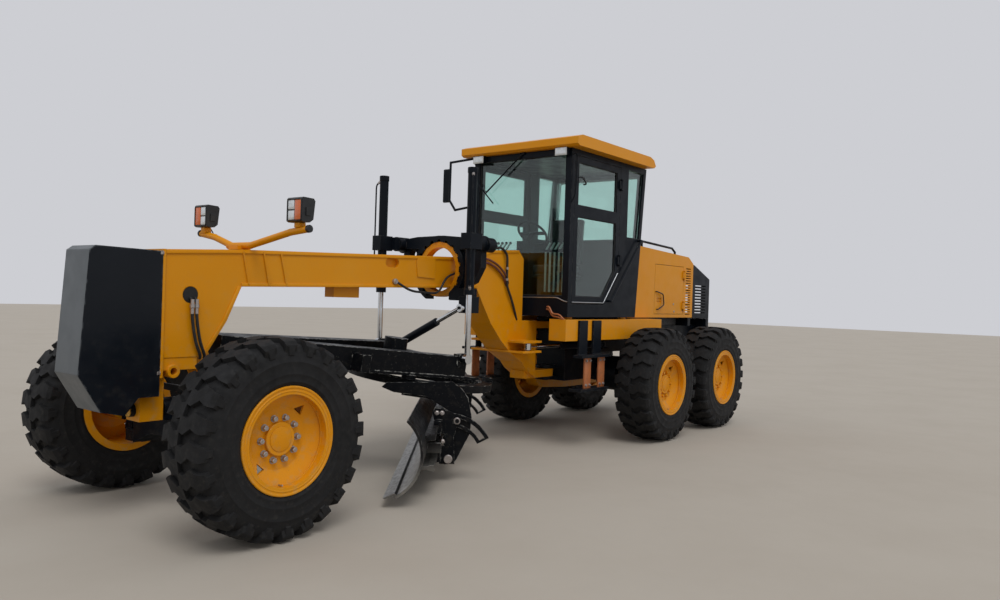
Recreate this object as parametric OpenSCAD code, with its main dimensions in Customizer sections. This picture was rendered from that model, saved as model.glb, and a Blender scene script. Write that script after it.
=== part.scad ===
// Motor grader with an articulated frame, six wheels and a turned blade.
// Inside from_axle() a place is measured from the front axle: x forward, y to the left, z up.

/* [Overall] */
// Rear axle centre to the rear end
rear_overhang = 1905; // [1850:5:1950]
// Reach of the nose ahead of the front axle
front_overhang = 865; // [840:5:900]
// Front axle to the centre of the tandem
wheelbase = 6290; // [6250:10:6400]
// Spacing of the two wheels of a tandem
tandem_pitch = 1545; // [1480:5:1600]
// Centre line of the machine to the middle of a tyre
half_track = 1040; // [1030:1:1060]

/* [Wheels] */
// Radius of the tyre out to the tips of its lugs
tyre_r = 669; // [650:1:690]
// Width of the tyre
tyre_w = 445; // [420:1:460]
// Radius of the rim's flange
flange_r = 358; // [345:1:370]
// Radius of the seat that the tyre sits on
seat_r = 322; // [310:1:330]
// Thickness of the rim's barrel
rim_wall = 20; // [12:1:26]
// Wheel disc, outboard of the middle of the tyre
disc_offset = 95; // [70:1:120]
// Pitch circle of the wheel nuts
nut_circle = 286; // [260:1:300]
// Number of wheel nuts
nut_count = 10; // [8:1:12]
// Radius of the spindle that a wheel turns on
spindle_r = 55; // [45:1:60]
// Gap between a shaft and its bore
bore_gap = 0.1; // [0.05:0.01:0.2]
// Gap between a tyre's bead and its rim
bead_gap = 0.3; // [0.2:0.1:1]

/* [Front axle] */
// Height of the pins that the wheels lean about
lean_z = 470; // [450:1:500]
// Lean pin to the centre line
lean_y = 615; // [600:1:640]
// Steering pivot to the centre line
king_y = 770; // [765:1:780]
// Height of the bar that makes both wheels lean together
lean_bar_z = 900; // [880:1:930]
// Length of a steering arm
steer_arm = 130; // [120:1:150]

/* [Frame] */
// Half width of the front frame's box beam
beam_half_w = 155; // [140:1:170]
// Articulation pin behind the front axle
pivot_back = 4650; // [4600:5:4700]
// Radius of the articulation pins
pivot_r = 45; // [35:1:55]
// Gap between plates that slide past each other
slide_gap = 5; // [5:0.5:8]

/* [Drawbar and circle] */
// Centre of the circle behind the front axle
circle_back = 2524; // [2480:2:2560]
// Ball of the drawbar behind the front axle
ball_back = 130; // [120:1:150]
// Height of the ball
ball_z = 1060; // [1040:1:1080]
// Radius of the ball
ball_r = 60; // [50:1:70]
// Outer radius of the circle
circle_r = 720; // [680:1:740]
// Radial width of the circle's ring
circle_w = 110; // [90:1:130]
// Angle between the blade and the machine's centre line
blade_angle = 40; // [38:0.5:45]
// Tilt of the drawbar about a line along the blade
drawbar_tilt = 7; // [6:0.1:8]

/* [Blade] */
// Length of the mouldboard
blade_l = 3660; // [3600:10:3700]
// Radius of the mouldboard's curve
blade_r = 350; // [340:1:360]
// Thickness of the mouldboard
blade_t = 22; // [16:1:30]
// Spacing of the two arms that carry the blade
arm_spacing = 1700; // [1600:10:1800]
// Thickness of an arm
arm_t = 40; // [30:1:50]

/* [Lift cylinders] */
// Lift cylinders behind the front axle
lift_back = 2510; // [2480:2:2540]
// Lift cylinder to the centre line
lift_y = 600; // [580:1:620]
// Radius of the cylinder barrel
lift_r = 45; // [38:1:50]
// Radius of the rod
rod_r = 27; // [20:1:32]

/* [Cab] */
// Front of the cab behind the front axle
cab_front = 4060; // [4055:1:4090]
// Length of the cab at its floor
cab_l = 1510; // [1490:5:1530]
// How much further back the cab's rear edge is at the roof
cab_rear_lean = 180; // [150:5:190]
// Half width of the cab
cab_half_w = 690; // [670:1:700]
// Underside of the cab floor
cab_z = 1450; // [1446:1:1460]
// Underside of the roof
roof_z = 3300; // [3280:5:3330]
// Thickness of the roof
roof_t = 125; // [90:1:130]
// Half width of the roof
roof_half_w = 825; // [800:1:840]
// Thickness of the cab's posts and walls
cab_wall = 60; // [50:1:70]
// Thickness of the glass
glass_t = 8; // [6:1:12]
// Sill of the side windows and of the rear window
sill_z = 2400; // [2380:5:2440]

/* [Hood] */
// Half width of the hood
hood_half_w = 520; // [500:1:540]
// Front of the hood behind the front axle
hood_front = 5690; // [5680:1:5720]
// Top of the hood at its front
hood_top = 2375; // [2350:1:2380]
// Underside of the hood
hood_z = 1440; // [1438:1:1445]
// Sheet thickness of the hood
hood_t = 40; // [25:1:50]

/* [Hidden] */
// Seat between two pieces that the real machine bolts together
seat = 0.3;
$fn = 64;
overlap = 2;
overall_length = front_overhang + wheelbase + rear_overhang;
front_axle_x = overall_length / 2 - front_overhang;
stretch = wheelbase - 6290;
middle_back = wheelbase - tandem_pitch / 2;
rear_back = wheelbase + tandem_pitch / 2;
yellow = "#e8960c";
black = "#1b1e22";
rubber = "#26262a";
steel = "#8d9094";
chrome = "#c9ccd0";
glass_blue = "#6fb0a4";

// Places measured from the front axle
module from_axle() {
    translate([front_axle_x, 0, 0]) children();
}

// Places behind the saddle, which keep their distance to the rear axle
module from_pivot() {
    from_axle() translate([-stretch, 0, 0]) children();
}

// The left piece and its mirror image on the right
module both_sides() {
    children();
    mirror([0, 1, 0]) children();
}

// A piece drawn for the left side, put on the named side
module on_side(side) {
    if (side > 0) children();
    else mirror([0, 1, 0]) children();
}

// A profile in x and z, thick from y0 to y1
module side_plate(points, y0, y1) {
    translate([0, y1, 0]) rotate([90, 0, 0]) linear_extrude(y1 - y0) polygon(points);
}

// A profile in y and z, thick from x0 to x1
module cross_plate(points, x0, x1) {
    translate([x0, 0, 0]) rotate([90, 0, 90]) linear_extrude(x1 - x0) polygon(points);
}

// A box from its lowest corner to its highest
module block(low, high) {
    translate(low) cube(high - low);
}

// A round bar between two points
module bar(a, b, r) {
    d = b - a;
    turn = [0, acos(d[2] / norm(d)), atan2(d[1], d[0])];
    translate(a) rotate(turn) cylinder(h = norm(d), r = r);
}

// A round disc or pin along x, y or z, centred on a point
module along_x(at, r, l) {
    translate(at) rotate([0, 90, 0]) cylinder(h = l, r = r, center = true);
}
module along_y(at, r, l) {
    translate(at) rotate([90, 0, 0]) cylinder(h = l, r = r, center = true);
}
module along_z(at, r, l) {
    translate(at) cylinder(h = l, r = r, center = true);
}

// A bent pipe or hose through a list of points
module pipe(points, r) {
    for (i = [0 : len(points) - 2]) bar(points[i], points[i + 1], r);
    for (i = [1 : len(points) - 2]) translate(points[i]) sphere(r = r + 1);
}

// Door hinges at a point on a vertical axis: the fixed ears with their pin, and the door's sleeve.
// Both are drawn on the left, with the door's panel ahead of the axis.
hinge_r = 8;
hinge_out = 16;
hinge_l = 90;

module hinge_ears(at) {
    for (z = [at[2] - 22, at[2] + hinge_l + 4]) {
        block([at[0] - 45, at[1] - hinge_out - 1, z], [at[0], at[1] + 8, z + 18]);
        translate([at[0], at[1], z]) cylinder(h = 18, r = hinge_r + 5);
    }
    translate([at[0], at[1], at[2] - 22]) cylinder(h = hinge_l + 44, r = hinge_r);
}

module hinge_sleeve(at) {
    difference() {
        union() {
            translate(at) cylinder(h = hinge_l, r = hinge_r + 5);
            block([at[0], at[1] - hinge_out - 1, at[2]], [at[0] + 45, at[1] + 4, at[2] + hinge_l]);
        }
        translate([at[0], at[1], at[2] - 1]) cylinder(h = hinge_l + 2, r = hinge_r + bore_gap);
    }
}

// Points on an arc
function arc(centre, r, a0, a1, steps) =
    [for (i = [0 : steps]) centre + r * [cos(a0 + (a1 - a0) * i / steps), sin(a0 + (a1 - a0) * i / steps)]];

// Wheels

tyre_half = tyre_w / 2;
bead_y = 185;
lug_count = 24;
groove_depth = 28;
casing_section = [
    [seat_r + bead_gap, -bead_y], [flange_r, -bead_y], [400, -tyre_half + 6], [480, -tyre_half],
    [556, -tyre_half + 8], [600, -tyre_half + 26], [tyre_r - groove_depth, -140],
    [tyre_r - groove_depth, 140], [600, tyre_half - 26], [556, tyre_half - 8], [480, tyre_half],
    [400, tyre_half - 6], [flange_r, bead_y], [seat_r + bead_gap, bead_y]
];
tread_section = [
    [545, -tyre_half + 3], [585, -tyre_half + 7], [640, -tyre_half + 32], [tyre_r, -150], [tyre_r, 150],
    [640, tyre_half - 32], [585, tyre_half - 7], [545, tyre_half - 3], [545, 120], [600, 100], [600, -100],
    [545, -120]
];
// One lug's outline: distance from the tyre's centre line, then distance along the tread
lug_outline = [[-6, -48], [60, -24], [130, -56], [235, -28], [235, 70], [130, 42], [60, 74], [-6, 50]];

// A block the shape of one lug, standing outwards from the axle line
module lug() {
    rotate([0, 90, 0]) translate([0, 0, 540]) linear_extrude(140) rotate(90) polygon(lug_outline);
}
flange_y = 212;
disc_t = 20;
hub_r = 112;
hub_in = 140;
hub_rise = 24;
rim_section = [
    [0, disc_offset + hub_rise], [hub_r - 4, disc_offset + hub_rise], [hub_r, disc_offset + hub_rise - 4],
    [hub_r, disc_offset], [205, disc_offset], [seat_r - rim_wall, disc_offset + 45],
    [seat_r - rim_wall, flange_y], [flange_r, flange_y], [flange_r, bead_y + 8], [seat_r, bead_y],
    [seat_r, -bead_y], [flange_r, -bead_y - 8], [flange_r, -flange_y], [seat_r - rim_wall, -flange_y],
    [seat_r - rim_wall, disc_offset + 45 - disc_t], [205, disc_offset - disc_t],
    [hub_r, disc_offset - disc_t], [hub_r, -hub_in], [spindle_r + bore_gap, -hub_in],
    [spindle_r + bore_gap, disc_offset + 10], [0, disc_offset + 10]
];

// A wheel at its place, with its outer side away from the machine
module wheel_place(back, side) {
    from_axle() translate([-back, side * half_track, tyre_r]) rotate([side > 0 ? -90 : 90, 0, 0]) children();
}

module tyre(back, side) {
    pitch = 360 / lug_count;
    color(rubber) wheel_place(back, side) {
        rotate_extrude() polygon(casing_section);
        intersection() {
            rotate_extrude() polygon(tread_section);
            for (i = [0 : lug_count - 1]) {
                rotate([0, 0, pitch * i]) lug();
                rotate([0, 0, pitch * (i + 0.5)]) mirror([0, 0, 1]) lug();
            }
        }
    }
}

module rim(back, side) {
    color(yellow) wheel_place(back, side) {
        difference() {
            rotate_extrude($fn = 96) polygon(rim_section);
            for (a = [50, 230]) rotate([0, 0, a]) translate([0, 0, disc_offset - 60])
                linear_extrude(120) polygon([[215, -38], [215, 38], [276, 0]]);
        }
        for (i = [0 : nut_count - 1]) rotate([0, 0, 360 * i / nut_count])
            translate([nut_circle / 2, 0, disc_offset - overlap]) cylinder(h = 26 + overlap, r = 14, $fn = 6);
    }
}

// Front axle, lean yokes and steering

eye_r = 45;
pin_r = 25;
yoke_half_x = 60;
yoke_in = lean_y + eye_r + 10;
yoke_out = yoke_in + 40;
arm_z = [[500, 550], [800, 850]];
boss_r = 55;
barrel_r = 50;
tie_gap = 0.5;
tie_pad_t = 22;
steer_eye_r = 24;
hang_pin_r = 45;
hang_pin_z = 765;

module front_axle() {
    color(black) from_axle() {
        cross_plate([[-lean_y + 60, 425], [-lean_y + 60, 590], [-300, 690], [300, 690], [lean_y - 60, 590],
                     [lean_y - 60, 425], [300, 530], [-300, 530]], -105, 105);
        both_sides() difference() {
            union() {
                block([-45, lean_y - 80, lean_z - eye_r], [45, lean_y, lean_z + eye_r]);
                along_x([0, lean_y, lean_z], eye_r, 90);
            }
            along_x([0, lean_y, lean_z], pin_r + bore_gap, 200);
        }
        block([-95, -60, 680], [200, 60, 760]);
        along_x([50, 0, hang_pin_z], 75, 300);
        along_x([110, 0, hang_pin_z], hang_pin_r, 650);
    }
}

module lean_yoke(side) {
    color(black) from_axle() on_side(side) difference() {
        union() {
            block([-yoke_half_x, yoke_in, 425], [yoke_half_x, yoke_out, lean_bar_z + 45]);
            block([-yoke_half_x, lean_y - 40, lean_bar_z - 45], [yoke_half_x, yoke_out, lean_bar_z + 45]);
            for (x = [-68, 68]) {
                along_x([x, lean_y, lean_z], eye_r, 36);
                block([x - 18, lean_y, lean_z - eye_r], [x + 18, yoke_out, lean_z + eye_r]);
            }
            along_x([0, lean_y, lean_z], pin_r, 180);
            for (z = arm_z) {
                block([-boss_r, yoke_in, z[0]], [boss_r, king_y, z[1]]);
                translate([0, king_y, z[0]]) cylinder(h = z[1] - z[0], r = boss_r);
            }
        }
        translate([0, king_y, arm_z[0][0] - 1])
            cylinder(h = arm_z[1][1] - arm_z[0][0] + 2, r = pin_r + 8 + bore_gap);
    }
}

module knuckle(side) {
    color(black) from_axle() on_side(side) {
        translate([0, king_y, arm_z[0][0] - 12]) cylinder(h = arm_z[1][1] - arm_z[0][0] + 24, r = pin_r + 8);
        for (z = [arm_z[0][0] - 12, arm_z[1][1] + 1])
            translate([0, king_y, z]) cylinder(h = 11, r = 42);
        translate([0, king_y, arm_z[0][1] + slide_gap])
            cylinder(h = arm_z[1][0] - arm_z[0][1] - 2 * slide_gap, r = barrel_r);
        bar([0, king_y, tyre_r], [0, half_track + disc_offset, tyre_r], spindle_r);
        bar([0, king_y + 20, tyre_r], [0, half_track - hub_in - slide_gap, tyre_r], 90);
        translate([0, 0, 565]) linear_extrude(36)
            polygon([[-10, king_y + 100], [-steer_arm - 15, king_y + 18], [-steer_arm - 15, king_y - 18],
                [-steer_arm + 8, king_y - 22], [-30, king_y + 45], [40, king_y + 60], [40, king_y + 100]]);
        translate([0, king_y + 30, 600]) cylinder(h = 60, r = 30);
        translate([-steer_arm, king_y, 565]) cylinder(h = 36, r = steer_eye_r);
    }
}

module lean_bar() {
    color(black) from_axle() {
        for (side = [-1, 1]) along_x([yoke_half_x + 14.5, side * lean_y, lean_bar_z], 38, 28);
        block([yoke_half_x + 4, -lean_y, lean_bar_z - 24], [yoke_half_x + 26, lean_y, lean_bar_z + 24]);
    }
}

module tie_rod() {
    pad_x = -steer_arm - steer_eye_r - tie_gap;
    color(black) from_axle() {
        both_sides() block([pad_x - tie_pad_t, king_y - 26, 560], [pad_x, king_y + 22, 604]);
        bar([pad_x - 24, -king_y, 582], [pad_x - 24, king_y, 582], 18);
    }
}

// Front frame

// Side view of the neck behind the saddle, from the beam's top round to its underside
neck_points = [
    [-3120, 2045], [-3366, 2140], [-3858, 2172], [-3955, 2080], [-3955, 1392], [-4240, 1392], [-4240, 735],
    [-4060, 840], [-3970, 926], [-3760, 1035], [-3577, 1182], [-3400, 1365], [-3286, 1526], [-3145, 1733]
];
beam_profile = concat([[300, 1140], [300, 1909], [-330, 1946], [-2770, 2034]],
    [for (p = neck_points) p - [stretch, 0]],
    [[-340, 1663], [-200, 1400], [-40, 1158], [14, 1140]]);
ear_low = [725, 815];
ear_high = [1300, 1380];
ear_r = 100;

module front_frame() {
    color(yellow) from_axle() difference() {
        union() {
            side_plate(beam_profile, -beam_half_w, beam_half_w);
            block([10, -150, 1050], [273, 150, 1150]);
            block([280, -170, 1000], [300.5, 170, 1911]);
            side_plate([[0, 1150], [-90, 1260], [-215, 860], [-215, 690], [-125, 690], [-125, 860]], -90, 90);
            side_plate([[225, 1060], [296, 1060], [296, 866], [400, 860], [400, 690], [225, 690]], -90, 90);
            along_y([197, 0, 1042], 47, 340);
            beam_stiffeners();
            difference() {
                along_x([-ring_back, 0, ring_z], ring_r, 90);
                along_x([-ring_back, 0, ring_z], 222, 100);
            }
            pivot_ears();
        }
        translate([-pivot_back - stretch, 0, 600]) cylinder(h = 900, r = pivot_r + bore_gap);
        along_x([100, 0, hang_pin_z], hang_pin_r + bore_gap, 800);
        along_y([197, 0, 1042], 26, 600);
        translate([-ball_back, 0, ball_z]) sphere(r = ball_r + seat);
        block([-400, -95, 985], [-ball_back, 95, 1215]);
        both_sides() {
            along_y([78, 150, 1592], 61, 80);
            for (x = [-1890, -1975]) along_y([x, 150, 1930], 42, 80);
            block([-1975, 110, 1888], [-1890, 190, 1972]);
        }
    }
}

// Ears for the pivot pins and plates for the bend cylinders, at the foot of the neck
module pivot_ears() {
    translate([-stretch, 0, 0]) {
        for (z = [ear_low, ear_high]) {
            block([-pivot_back, -ear_r, z[0]], [-4100, ear_r, z[1]]);
            translate([-pivot_back, 0, z[0]]) cylinder(h = z[1] - z[0], r = ear_r);
        }
        for (z = [1055, 1165]) block([-4050, -370, z - 12], [-3710, 370, z + 12]);
    }
}

// Ribs and pads welded to the beam's sides: foot x, head x for each rib
rib_ends = [[-404, -345], [-589, -531], [-757, -694]];

module beam_stiffeners() {
    both_sides() {
        for (r = rib_ends)
            side_plate([[r[0] - 7, 1680], [r[1] - 7, 1938], [r[1] + 7, 1938], [r[0] + 7, 1680]],
                beam_half_w - overlap, beam_half_w + 12);
        side_plate([[-2260, 1815], [-2240, 1960], [-2260, 1990], [-2500, 2000], [-2500, 1805]],
            beam_half_w - overlap, beam_half_w + 10);
    }
    block([-1620, -60, 1600], [-1330, 60, 1700]);
}

module nose_cover() {
    color(black) from_axle() side_plate([[301, 872], [301, 1895], [770, 1905], [810, 1875], [863, 1050],
        [706, 793], [544, 757], [450, 872]], -168, 168);
}

module lamp_bar() {
    color(yellow) from_axle() {
        pipe([[-420, -150, 1985], [-420, 150, 1985], [-420, 640, 2075], [-420, 860, 2095]], 26);
        pipe([[-420, -100, 1985], [-420, -350, 2060], [-420, -560, 2095]], 26);
        block([-480, -60, 1951.5 + seat], [-360, 60, 1985]);
    }
}

// The two lamps: place across the machine, then foot of the stem on the tube
lamp_places = [[745, 2112.2], [-480, 2110.7]];

module lamps() {
    color(black) from_axle() for (p = lamp_places) {
        difference() {
            side_plate([[-470, 2165], [-484, 2300], [-470, 2318], [-378, 2322], [-366, 2312], [-366, 2150],
                [-384, 2142], [-440, 2142]], p[0] - 88, p[0] + 88);
            block([-376, p[0] - 78, 2152], [-360, p[0] + 78, 2308]);
        }
        translate([-420, p[0], p[1]]) cylinder(h = 2150 - p[1], r = 14);
        block([-446, p[0] - 25, 2122], [-394, p[0] + 25, 2146]);
        both_sides_of(p[0]) block([-440, p[0] + 88 - overlap, 2190], [-400, p[0] + 96, 2250]);
    }
}

// What follows and its mirror image about a plane across the machine
module both_sides_of(y) {
    children();
    translate([0, 2 * y, 0]) mirror([0, 1, 0]) children();
}

// Saddle with its lift cylinder yokes

ring_back = 2777;
ring_z = 1908;
ring_r = 278;
ring_bore = ring_r + seat;
notch_count = 18;

module saddle() {
    color(black) from_axle() {
        difference() {
            union() {
                along_x([-ring_back, 0, ring_z], 340, 120);
                cross_plate([[-520, 2120], [-520, 2215], [-300, 2240], [60, 2247], [300, 2228], [520, 2205],
                    [520, 2100]], -ring_back - 60, -ring_back + 60);
                both_sides() cross_plate([[0, 1590], [440, 1780], [530, 1930], [530, 2150], [0, 2200]],
                    -ring_back - 60, -ring_back + 20);
            }
            along_x([-ring_back, 0, ring_z], ring_bore, 300);
            for (i = [0 : notch_count - 1]) rotate_about([-ring_back, 0, ring_z], 360 * i / notch_count)
                along_x([-ring_back, 0, ring_z + ring_bore + 4], 22, 300);
            both_sides() along_x([-ring_back, 395, 2060], 52, 300);
            block([-ring_back - 100, -beam_half_w - 1, 1500], [-ring_back + 100, beam_half_w + 1, 2050]);
        }
        both_sides() {
            block([-ring_back - 60, 480, 2100], [-lift_back - 70, 545, 2230]);
            along_x([-ring_back + 60, 530, 2165], 75, 160);
            along_x([-ring_back - 40, 560, 2150], 72, 110);
        }
        difference() {
            block([-ring_back - 60, 165, 1600], [-ring_back + 60, 420, 1720]);
            along_x([-ring_back, 0, ring_z], ring_bore, 300);
        }
        block([-ring_back - 60, 360, 1480], [shift_x - 24, 452, 1640]);
        along_x(shift_top, 15, 60);
    }
}

// Turns what follows about a line along x through a point
module rotate_about(at, a) {
    translate(at) rotate([a, 0, 0]) translate(-at) children();
}

barrel_low = 1665;
barrel_high = 2860;

module lift_barrels() {
    color(black) from_axle() both_sides() {
        difference() {
            translate([-lift_back, lift_y, barrel_low]) cylinder(h = barrel_high - barrel_low, r = lift_r);
            translate([-lift_back, lift_y, barrel_low - 1]) cylinder(h = 1150, r = rod_r + bore_gap);
        }
        difference() {
            block([-lift_back - 90, 545, 2090], [-lift_back + 80, 665, 2240]);
            translate([-lift_back, lift_y, 2000]) cylinder(h = 300, r = lift_r - 2);
        }
    }
}

module hoses() {
    color(black) from_axle() {
        for (x = [0, -60]) {
            along_y([x + 108, 165 + seat, 1560], 17, 20);
            along_y([x + 40, 165 + seat, 1185 - x / 3], 17, 20);
            pipe([[x + 108, 170, 1560], [x + 100, 230, 1500], [x + 50, 240, 1320],
                [x + 40, 170, 1185 - x / 3]], 11);
        }
        block([-2010, beam_half_w + seat, 1740], [-1860, beam_half_w + 40, 1830]);
        pipe([[-1960, 178, 1760], [-2120, 215, 1675], [-2500, 215, 1660], [-2640, 187, 1830],
            [-2870, 180, 1900]], 12);
        along_y([-2880, beam_half_w + 14 + seat, 1903], 19, 28);
    }
}

// Drawbar, in its own frame that is tilted about a line along the blade

blade_line = [cos(blade_angle), sin(blade_angle), 0];
ball_at = [-ball_back, 0, ball_z];

module tilted() {
    from_axle() translate(ball_at) rotate(a = -drawbar_tilt, v = blade_line) children();
}

lug_ball_r = 42;

module drawbar() {
    beam_h = 200;
    centre_x = ball_back - circle_back;
    color(black) {
        tilted() {
            sphere(r = ball_r);
            bar([-30, 0, 0], [-260, 0, 90], 45);
            both_sides() translate([0, 0, 45]) linear_extrude(beam_h)
                polygon([[-70, -40], [-70, 90], [-2430, 543], [-2430, 425], [-770, 60]]);
            difference() {
                translate([0, 0, 35]) linear_extrude(26)
                    polygon([[-1320, -330], [-1320, 330], [-2570, 600], [-2630, 560], [-2630, -560],
                             [-2570, -600]]);
                translate([centre_x, 0, 0]) cylinder(h = 100, r = 330);
            }
            for (a = [35, 145, 215, 325])
                translate([centre_x, 0, 0]) rotate([0, 0, a])
                    block([circle_r - 60, -60, 0.3], [circle_r + 20, 60, 40]);
            for (x = [-1300, -2420]) block([x, -440, 50], [x + 100, 440, 200]);
            translate([centre_x + 400, 0, 40]) cylinder(h = 290, r = 110);
        }
        for (side = [-1, 1]) drawbar_lug(side);
        from_axle() block([shift_x + 28, -480, 1040], [shift_x + 90, -390, 1175]);
    }
}

// A lug on the drawbar's rear corner with the ball that a lift rod holds
module drawbar_lug(side) {
    z = side > 0 ? eye_left_z : eye_right_z;
    from_axle() {
        translate([-lift_back, side * (lift_y - 62), z]) sphere(r = lug_ball_r);
        block([-lift_back - 60, side * (lift_y - 90) - 25, z - 80],
            [-lift_back + 60, side * (lift_y - 90) + 25, z + 45]);
    }
}

eye_left_z = 1052;
eye_right_z = 1140;

module lift_rod(side) {
    z = side > 0 ? eye_left_z : eye_right_z;
    from_axle() {
        translate([-lift_back, side * lift_y, z + 36]) cylinder(h = 1214, r = rod_r);
        along_y([-lift_back, side * lift_y, z], 50, 39);
    }
}

module lift_rods() {
    color(chrome) for (side = [-1, 1]) lift_rod(side);
}

// Centre shift cylinder across the front of the saddle

shift_x = -2615;
shift_top = [shift_x, 406, 1529];
shift_low = [shift_x, -426, 1129];
shift_dir = (shift_low - shift_top) / norm(shift_low - shift_top);

module shift_rod() {
    color(chrome) from_axle() {
        difference() {
            union() {
                along_x(shift_top, 38, 40);
                bar(shift_top, shift_top + shift_dir * 660, 22);
            }
            along_x(shift_top, 15 + bore_gap, 80);
        }
    }
}

module shift_barrel() {
    color(black) from_axle() {
        difference() {
            bar(shift_top + shift_dir * 337, shift_low - shift_dir * 80, 40);
            bar(shift_top + shift_dir * 300, shift_top + shift_dir * 800, 22 + bore_gap);
        }
        bar(shift_low - shift_dir * 82, shift_low - shift_dir * 20, 21);
        along_x(shift_low, 46, 45);
    }
}

// Circle with the two arms that carry the blade.
// at_circle() has x square to the blade and y along it, with z from the ground.

module at_circle() {
    from_axle() translate([-circle_back, 0, 0]) rotate([0, 0, blade_angle - 90]) children();
}

pitch_pin = [-315, 210];
clamp_pin = [-383, 543];
arm_profile = [
    [293, 821], [250, 862], [-330, 884], [-418, 826], [-476, 744], [-512, 573], [-500, 430], [-390, 200],
    [-360, 160], [-280, 150], [-262, 190], [-290, 330], [-310, 480], [-280, 640], [-104, 748], [184, 778]
];

module blade_circle() {
    color(black) {
        tilted() translate([ball_back - circle_back, 0, 0]) {
            difference() {
                translate([0, 0, -70]) cylinder(h = 70, r = circle_r);
                translate([0, 0, -80]) cylinder(h = 100, r = circle_r - circle_w);
            }
            rotate([0, 0, blade_angle - 90]) both_sides() difference() {
                block([-300, 560, -130], [90, arm_spacing / 2 + 10, -55]);
                translate([0, 0, -140]) cylinder(h = 100, r = circle_r - circle_w);
            }
        }
        at_circle() for (side = [-1, 1]) {
            y = side * arm_spacing / 2;
            difference() {
                side_plate(arm_profile, y - arm_t / 2, y + arm_t / 2);
                along_y([pitch_pin[0], y, pitch_pin[1]], 30 + bore_gap, 100);
            }
            along_y([clamp_pin[0], y + side * 40, clamp_pin[1]], 20, 60);
        }
    }
}

// Blade carrier, mouldboard and cutting edge

blade_mid = [-128, 366];
blade_lean = 7;
blade_centre = blade_mid + blade_r * [cos(blade_lean), sin(blade_lean)];
blade_half_arc = 55;
blade_face = arc(blade_centre, blade_r, 180 + blade_lean - blade_half_arc,
    180 + blade_lean + blade_half_arc, 14);
blade_back = arc(blade_centre, blade_r + blade_t, 180 + blade_lean + blade_half_arc,
    180 + blade_lean - blade_half_arc, 14);
rail_x = [-225, -175];
shift_axis = [-235, 372];
rail_z = [[470, 520], [225, 275]];

module blade_carrier() {
    plate_in = arm_spacing / 2 + arm_t / 2 + 1;
    color(black) at_circle() {
        both_sides() difference() {
            side_plate(concat([[-235, 160], [-235, 318], [-280, 318], [-280, 428], [-220, 428], [-165, 600],
                [-183, 655], [-250, 650]], arc(pitch_pin, 400, 97, 152, 8), arc(pitch_pin, 285, 152, 104, 8),
                [[-360, 400], [-372, 160]]), plate_in, plate_in + 24);
            side_plate(concat(arc(pitch_pin, 365, 96, 149, 10), arc(pitch_pin, 315, 149, 96, 10)),
                plate_in - 5, plate_in + 30);
            for (z = rail_z)
                block([rail_x[0] - 0.5, plate_in - 10, z[0] - 0.5], [-100, plate_in + 40, z[1] + 0.5]);
        }
        along_y([pitch_pin[0], 0, pitch_pin[1]], 30, 2 * plate_in + 60);
        both_sides() for (z = rail_z) difference() {
            block([-250, plate_in + 8, z[0] - 30], [-185, plate_in + 130, z[1] + 30]);
            block([rail_x[0] - 0.5, plate_in, z[0] - 0.5], [-100, plate_in + 200, z[1] + 0.5]);
        }
        difference() {
            along_y([shift_axis[0], -100, shift_axis[1]], 45, 1300);
            along_y([shift_axis[0], -50, shift_axis[1]], 25 + bore_gap, 1300);
        }
        for (y = [-700, 430]) difference() {
            side_plate([[-345, 185], [-290, 185], [-215, 330], [-215, 412], [-275, 412]], y - 20, y + 20);
            along_y([shift_axis[0], y, shift_axis[1]], 35, 100);
        }
    }
}

module mouldboard() {
    color(steel) at_circle() {
        side_plate(concat(blade_face, blade_back), -blade_l / 2, blade_l / 2);
        for (z = rail_z) {
            block([rail_x[0], -1500, z[0]], [rail_x[1], 1500, z[1]]);
            block([rail_x[1] - overlap, -1500, z[0] + 10], [-125, 1500, z[1] - 10]);
        }
        block([-265, 1240, 330], [-130, 1280, 415]);
    }
}

module cutting_edge() {
    edge_low = blade_face[14];
    color(steel) at_circle() side_plate([edge_low + [-13.3, 9.2], edge_low + [4, 22], edge_low + [95, -18],
        edge_low + [80, -26]], -blade_l / 2, blade_l / 2);
}

module side_shift_rod() {
    color(chrome) at_circle()
        bar([shift_axis[0], -100, shift_axis[1]], [shift_axis[0], 1240 - seat, shift_axis[1]], 25);
}

// Rear frame

sill_box = [[-6230, 500, 1190], [-3995, 720, 1425]];
strap_x = [-4610, -4320];
bend_front = [-3880, 300, 1110];
bend_rear = [-5250, 420, 1110];
rail_in = 200;
rail_out = 320;

module rear_frame() {
    color(black) from_pivot() {
        both_sides() block([-8110, rail_in, 1000], [-5100, rail_out, 1330]);
        for (x = [-5220, -6200, -7950]) block([x, -rail_in - 10, 1040], [x + 110, rail_in + 10, 1290]);
        block([-5200, -205, 670], [-pivot_back - ear_r - 20, 205, 1430]);
        for (z = [ear_low, ear_high]) {
            for (g = [[z[0] - slide_gap - 35, z[0] - slide_gap], [z[1] + slide_gap, z[1] + slide_gap + 35]]) {
                block([-4850, -110, g[0]], [-pivot_back, 110, g[1]]);
                translate([-pivot_back, 0, g[0]]) cylinder(h = g[1] - g[0], r = 110);
            }
            translate([-pivot_back, 0, z[0] - 50]) cylinder(h = z[1] - z[0] + 100, r = pivot_r);
        }
        both_sides() {
            for (z = [1050, 1145]) block([-5330, rail_out - 10, z], [-5200, 465, z + 25]);
            along_z([bend_rear[0], bend_rear[1], bend_rear[2]], 20, 120);
            block([-6500, rail_in, 790], [-6080, rail_out, 1005]);
            for (x = [-6100, -5500]) block([x, rail_out - 10, 1285], [x + 120, sill_box[0][1] - seat, 1325]);
        }
        for (x = [-7565, -5710]) block([x, -498, 1320], [x + 80, 498, hood_z - seat]);
    }
}

module engine() {
    color(steel) from_pivot() block([-7450, -330, 1330 + seat], [-6150, 330, 2150]);
}

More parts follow.
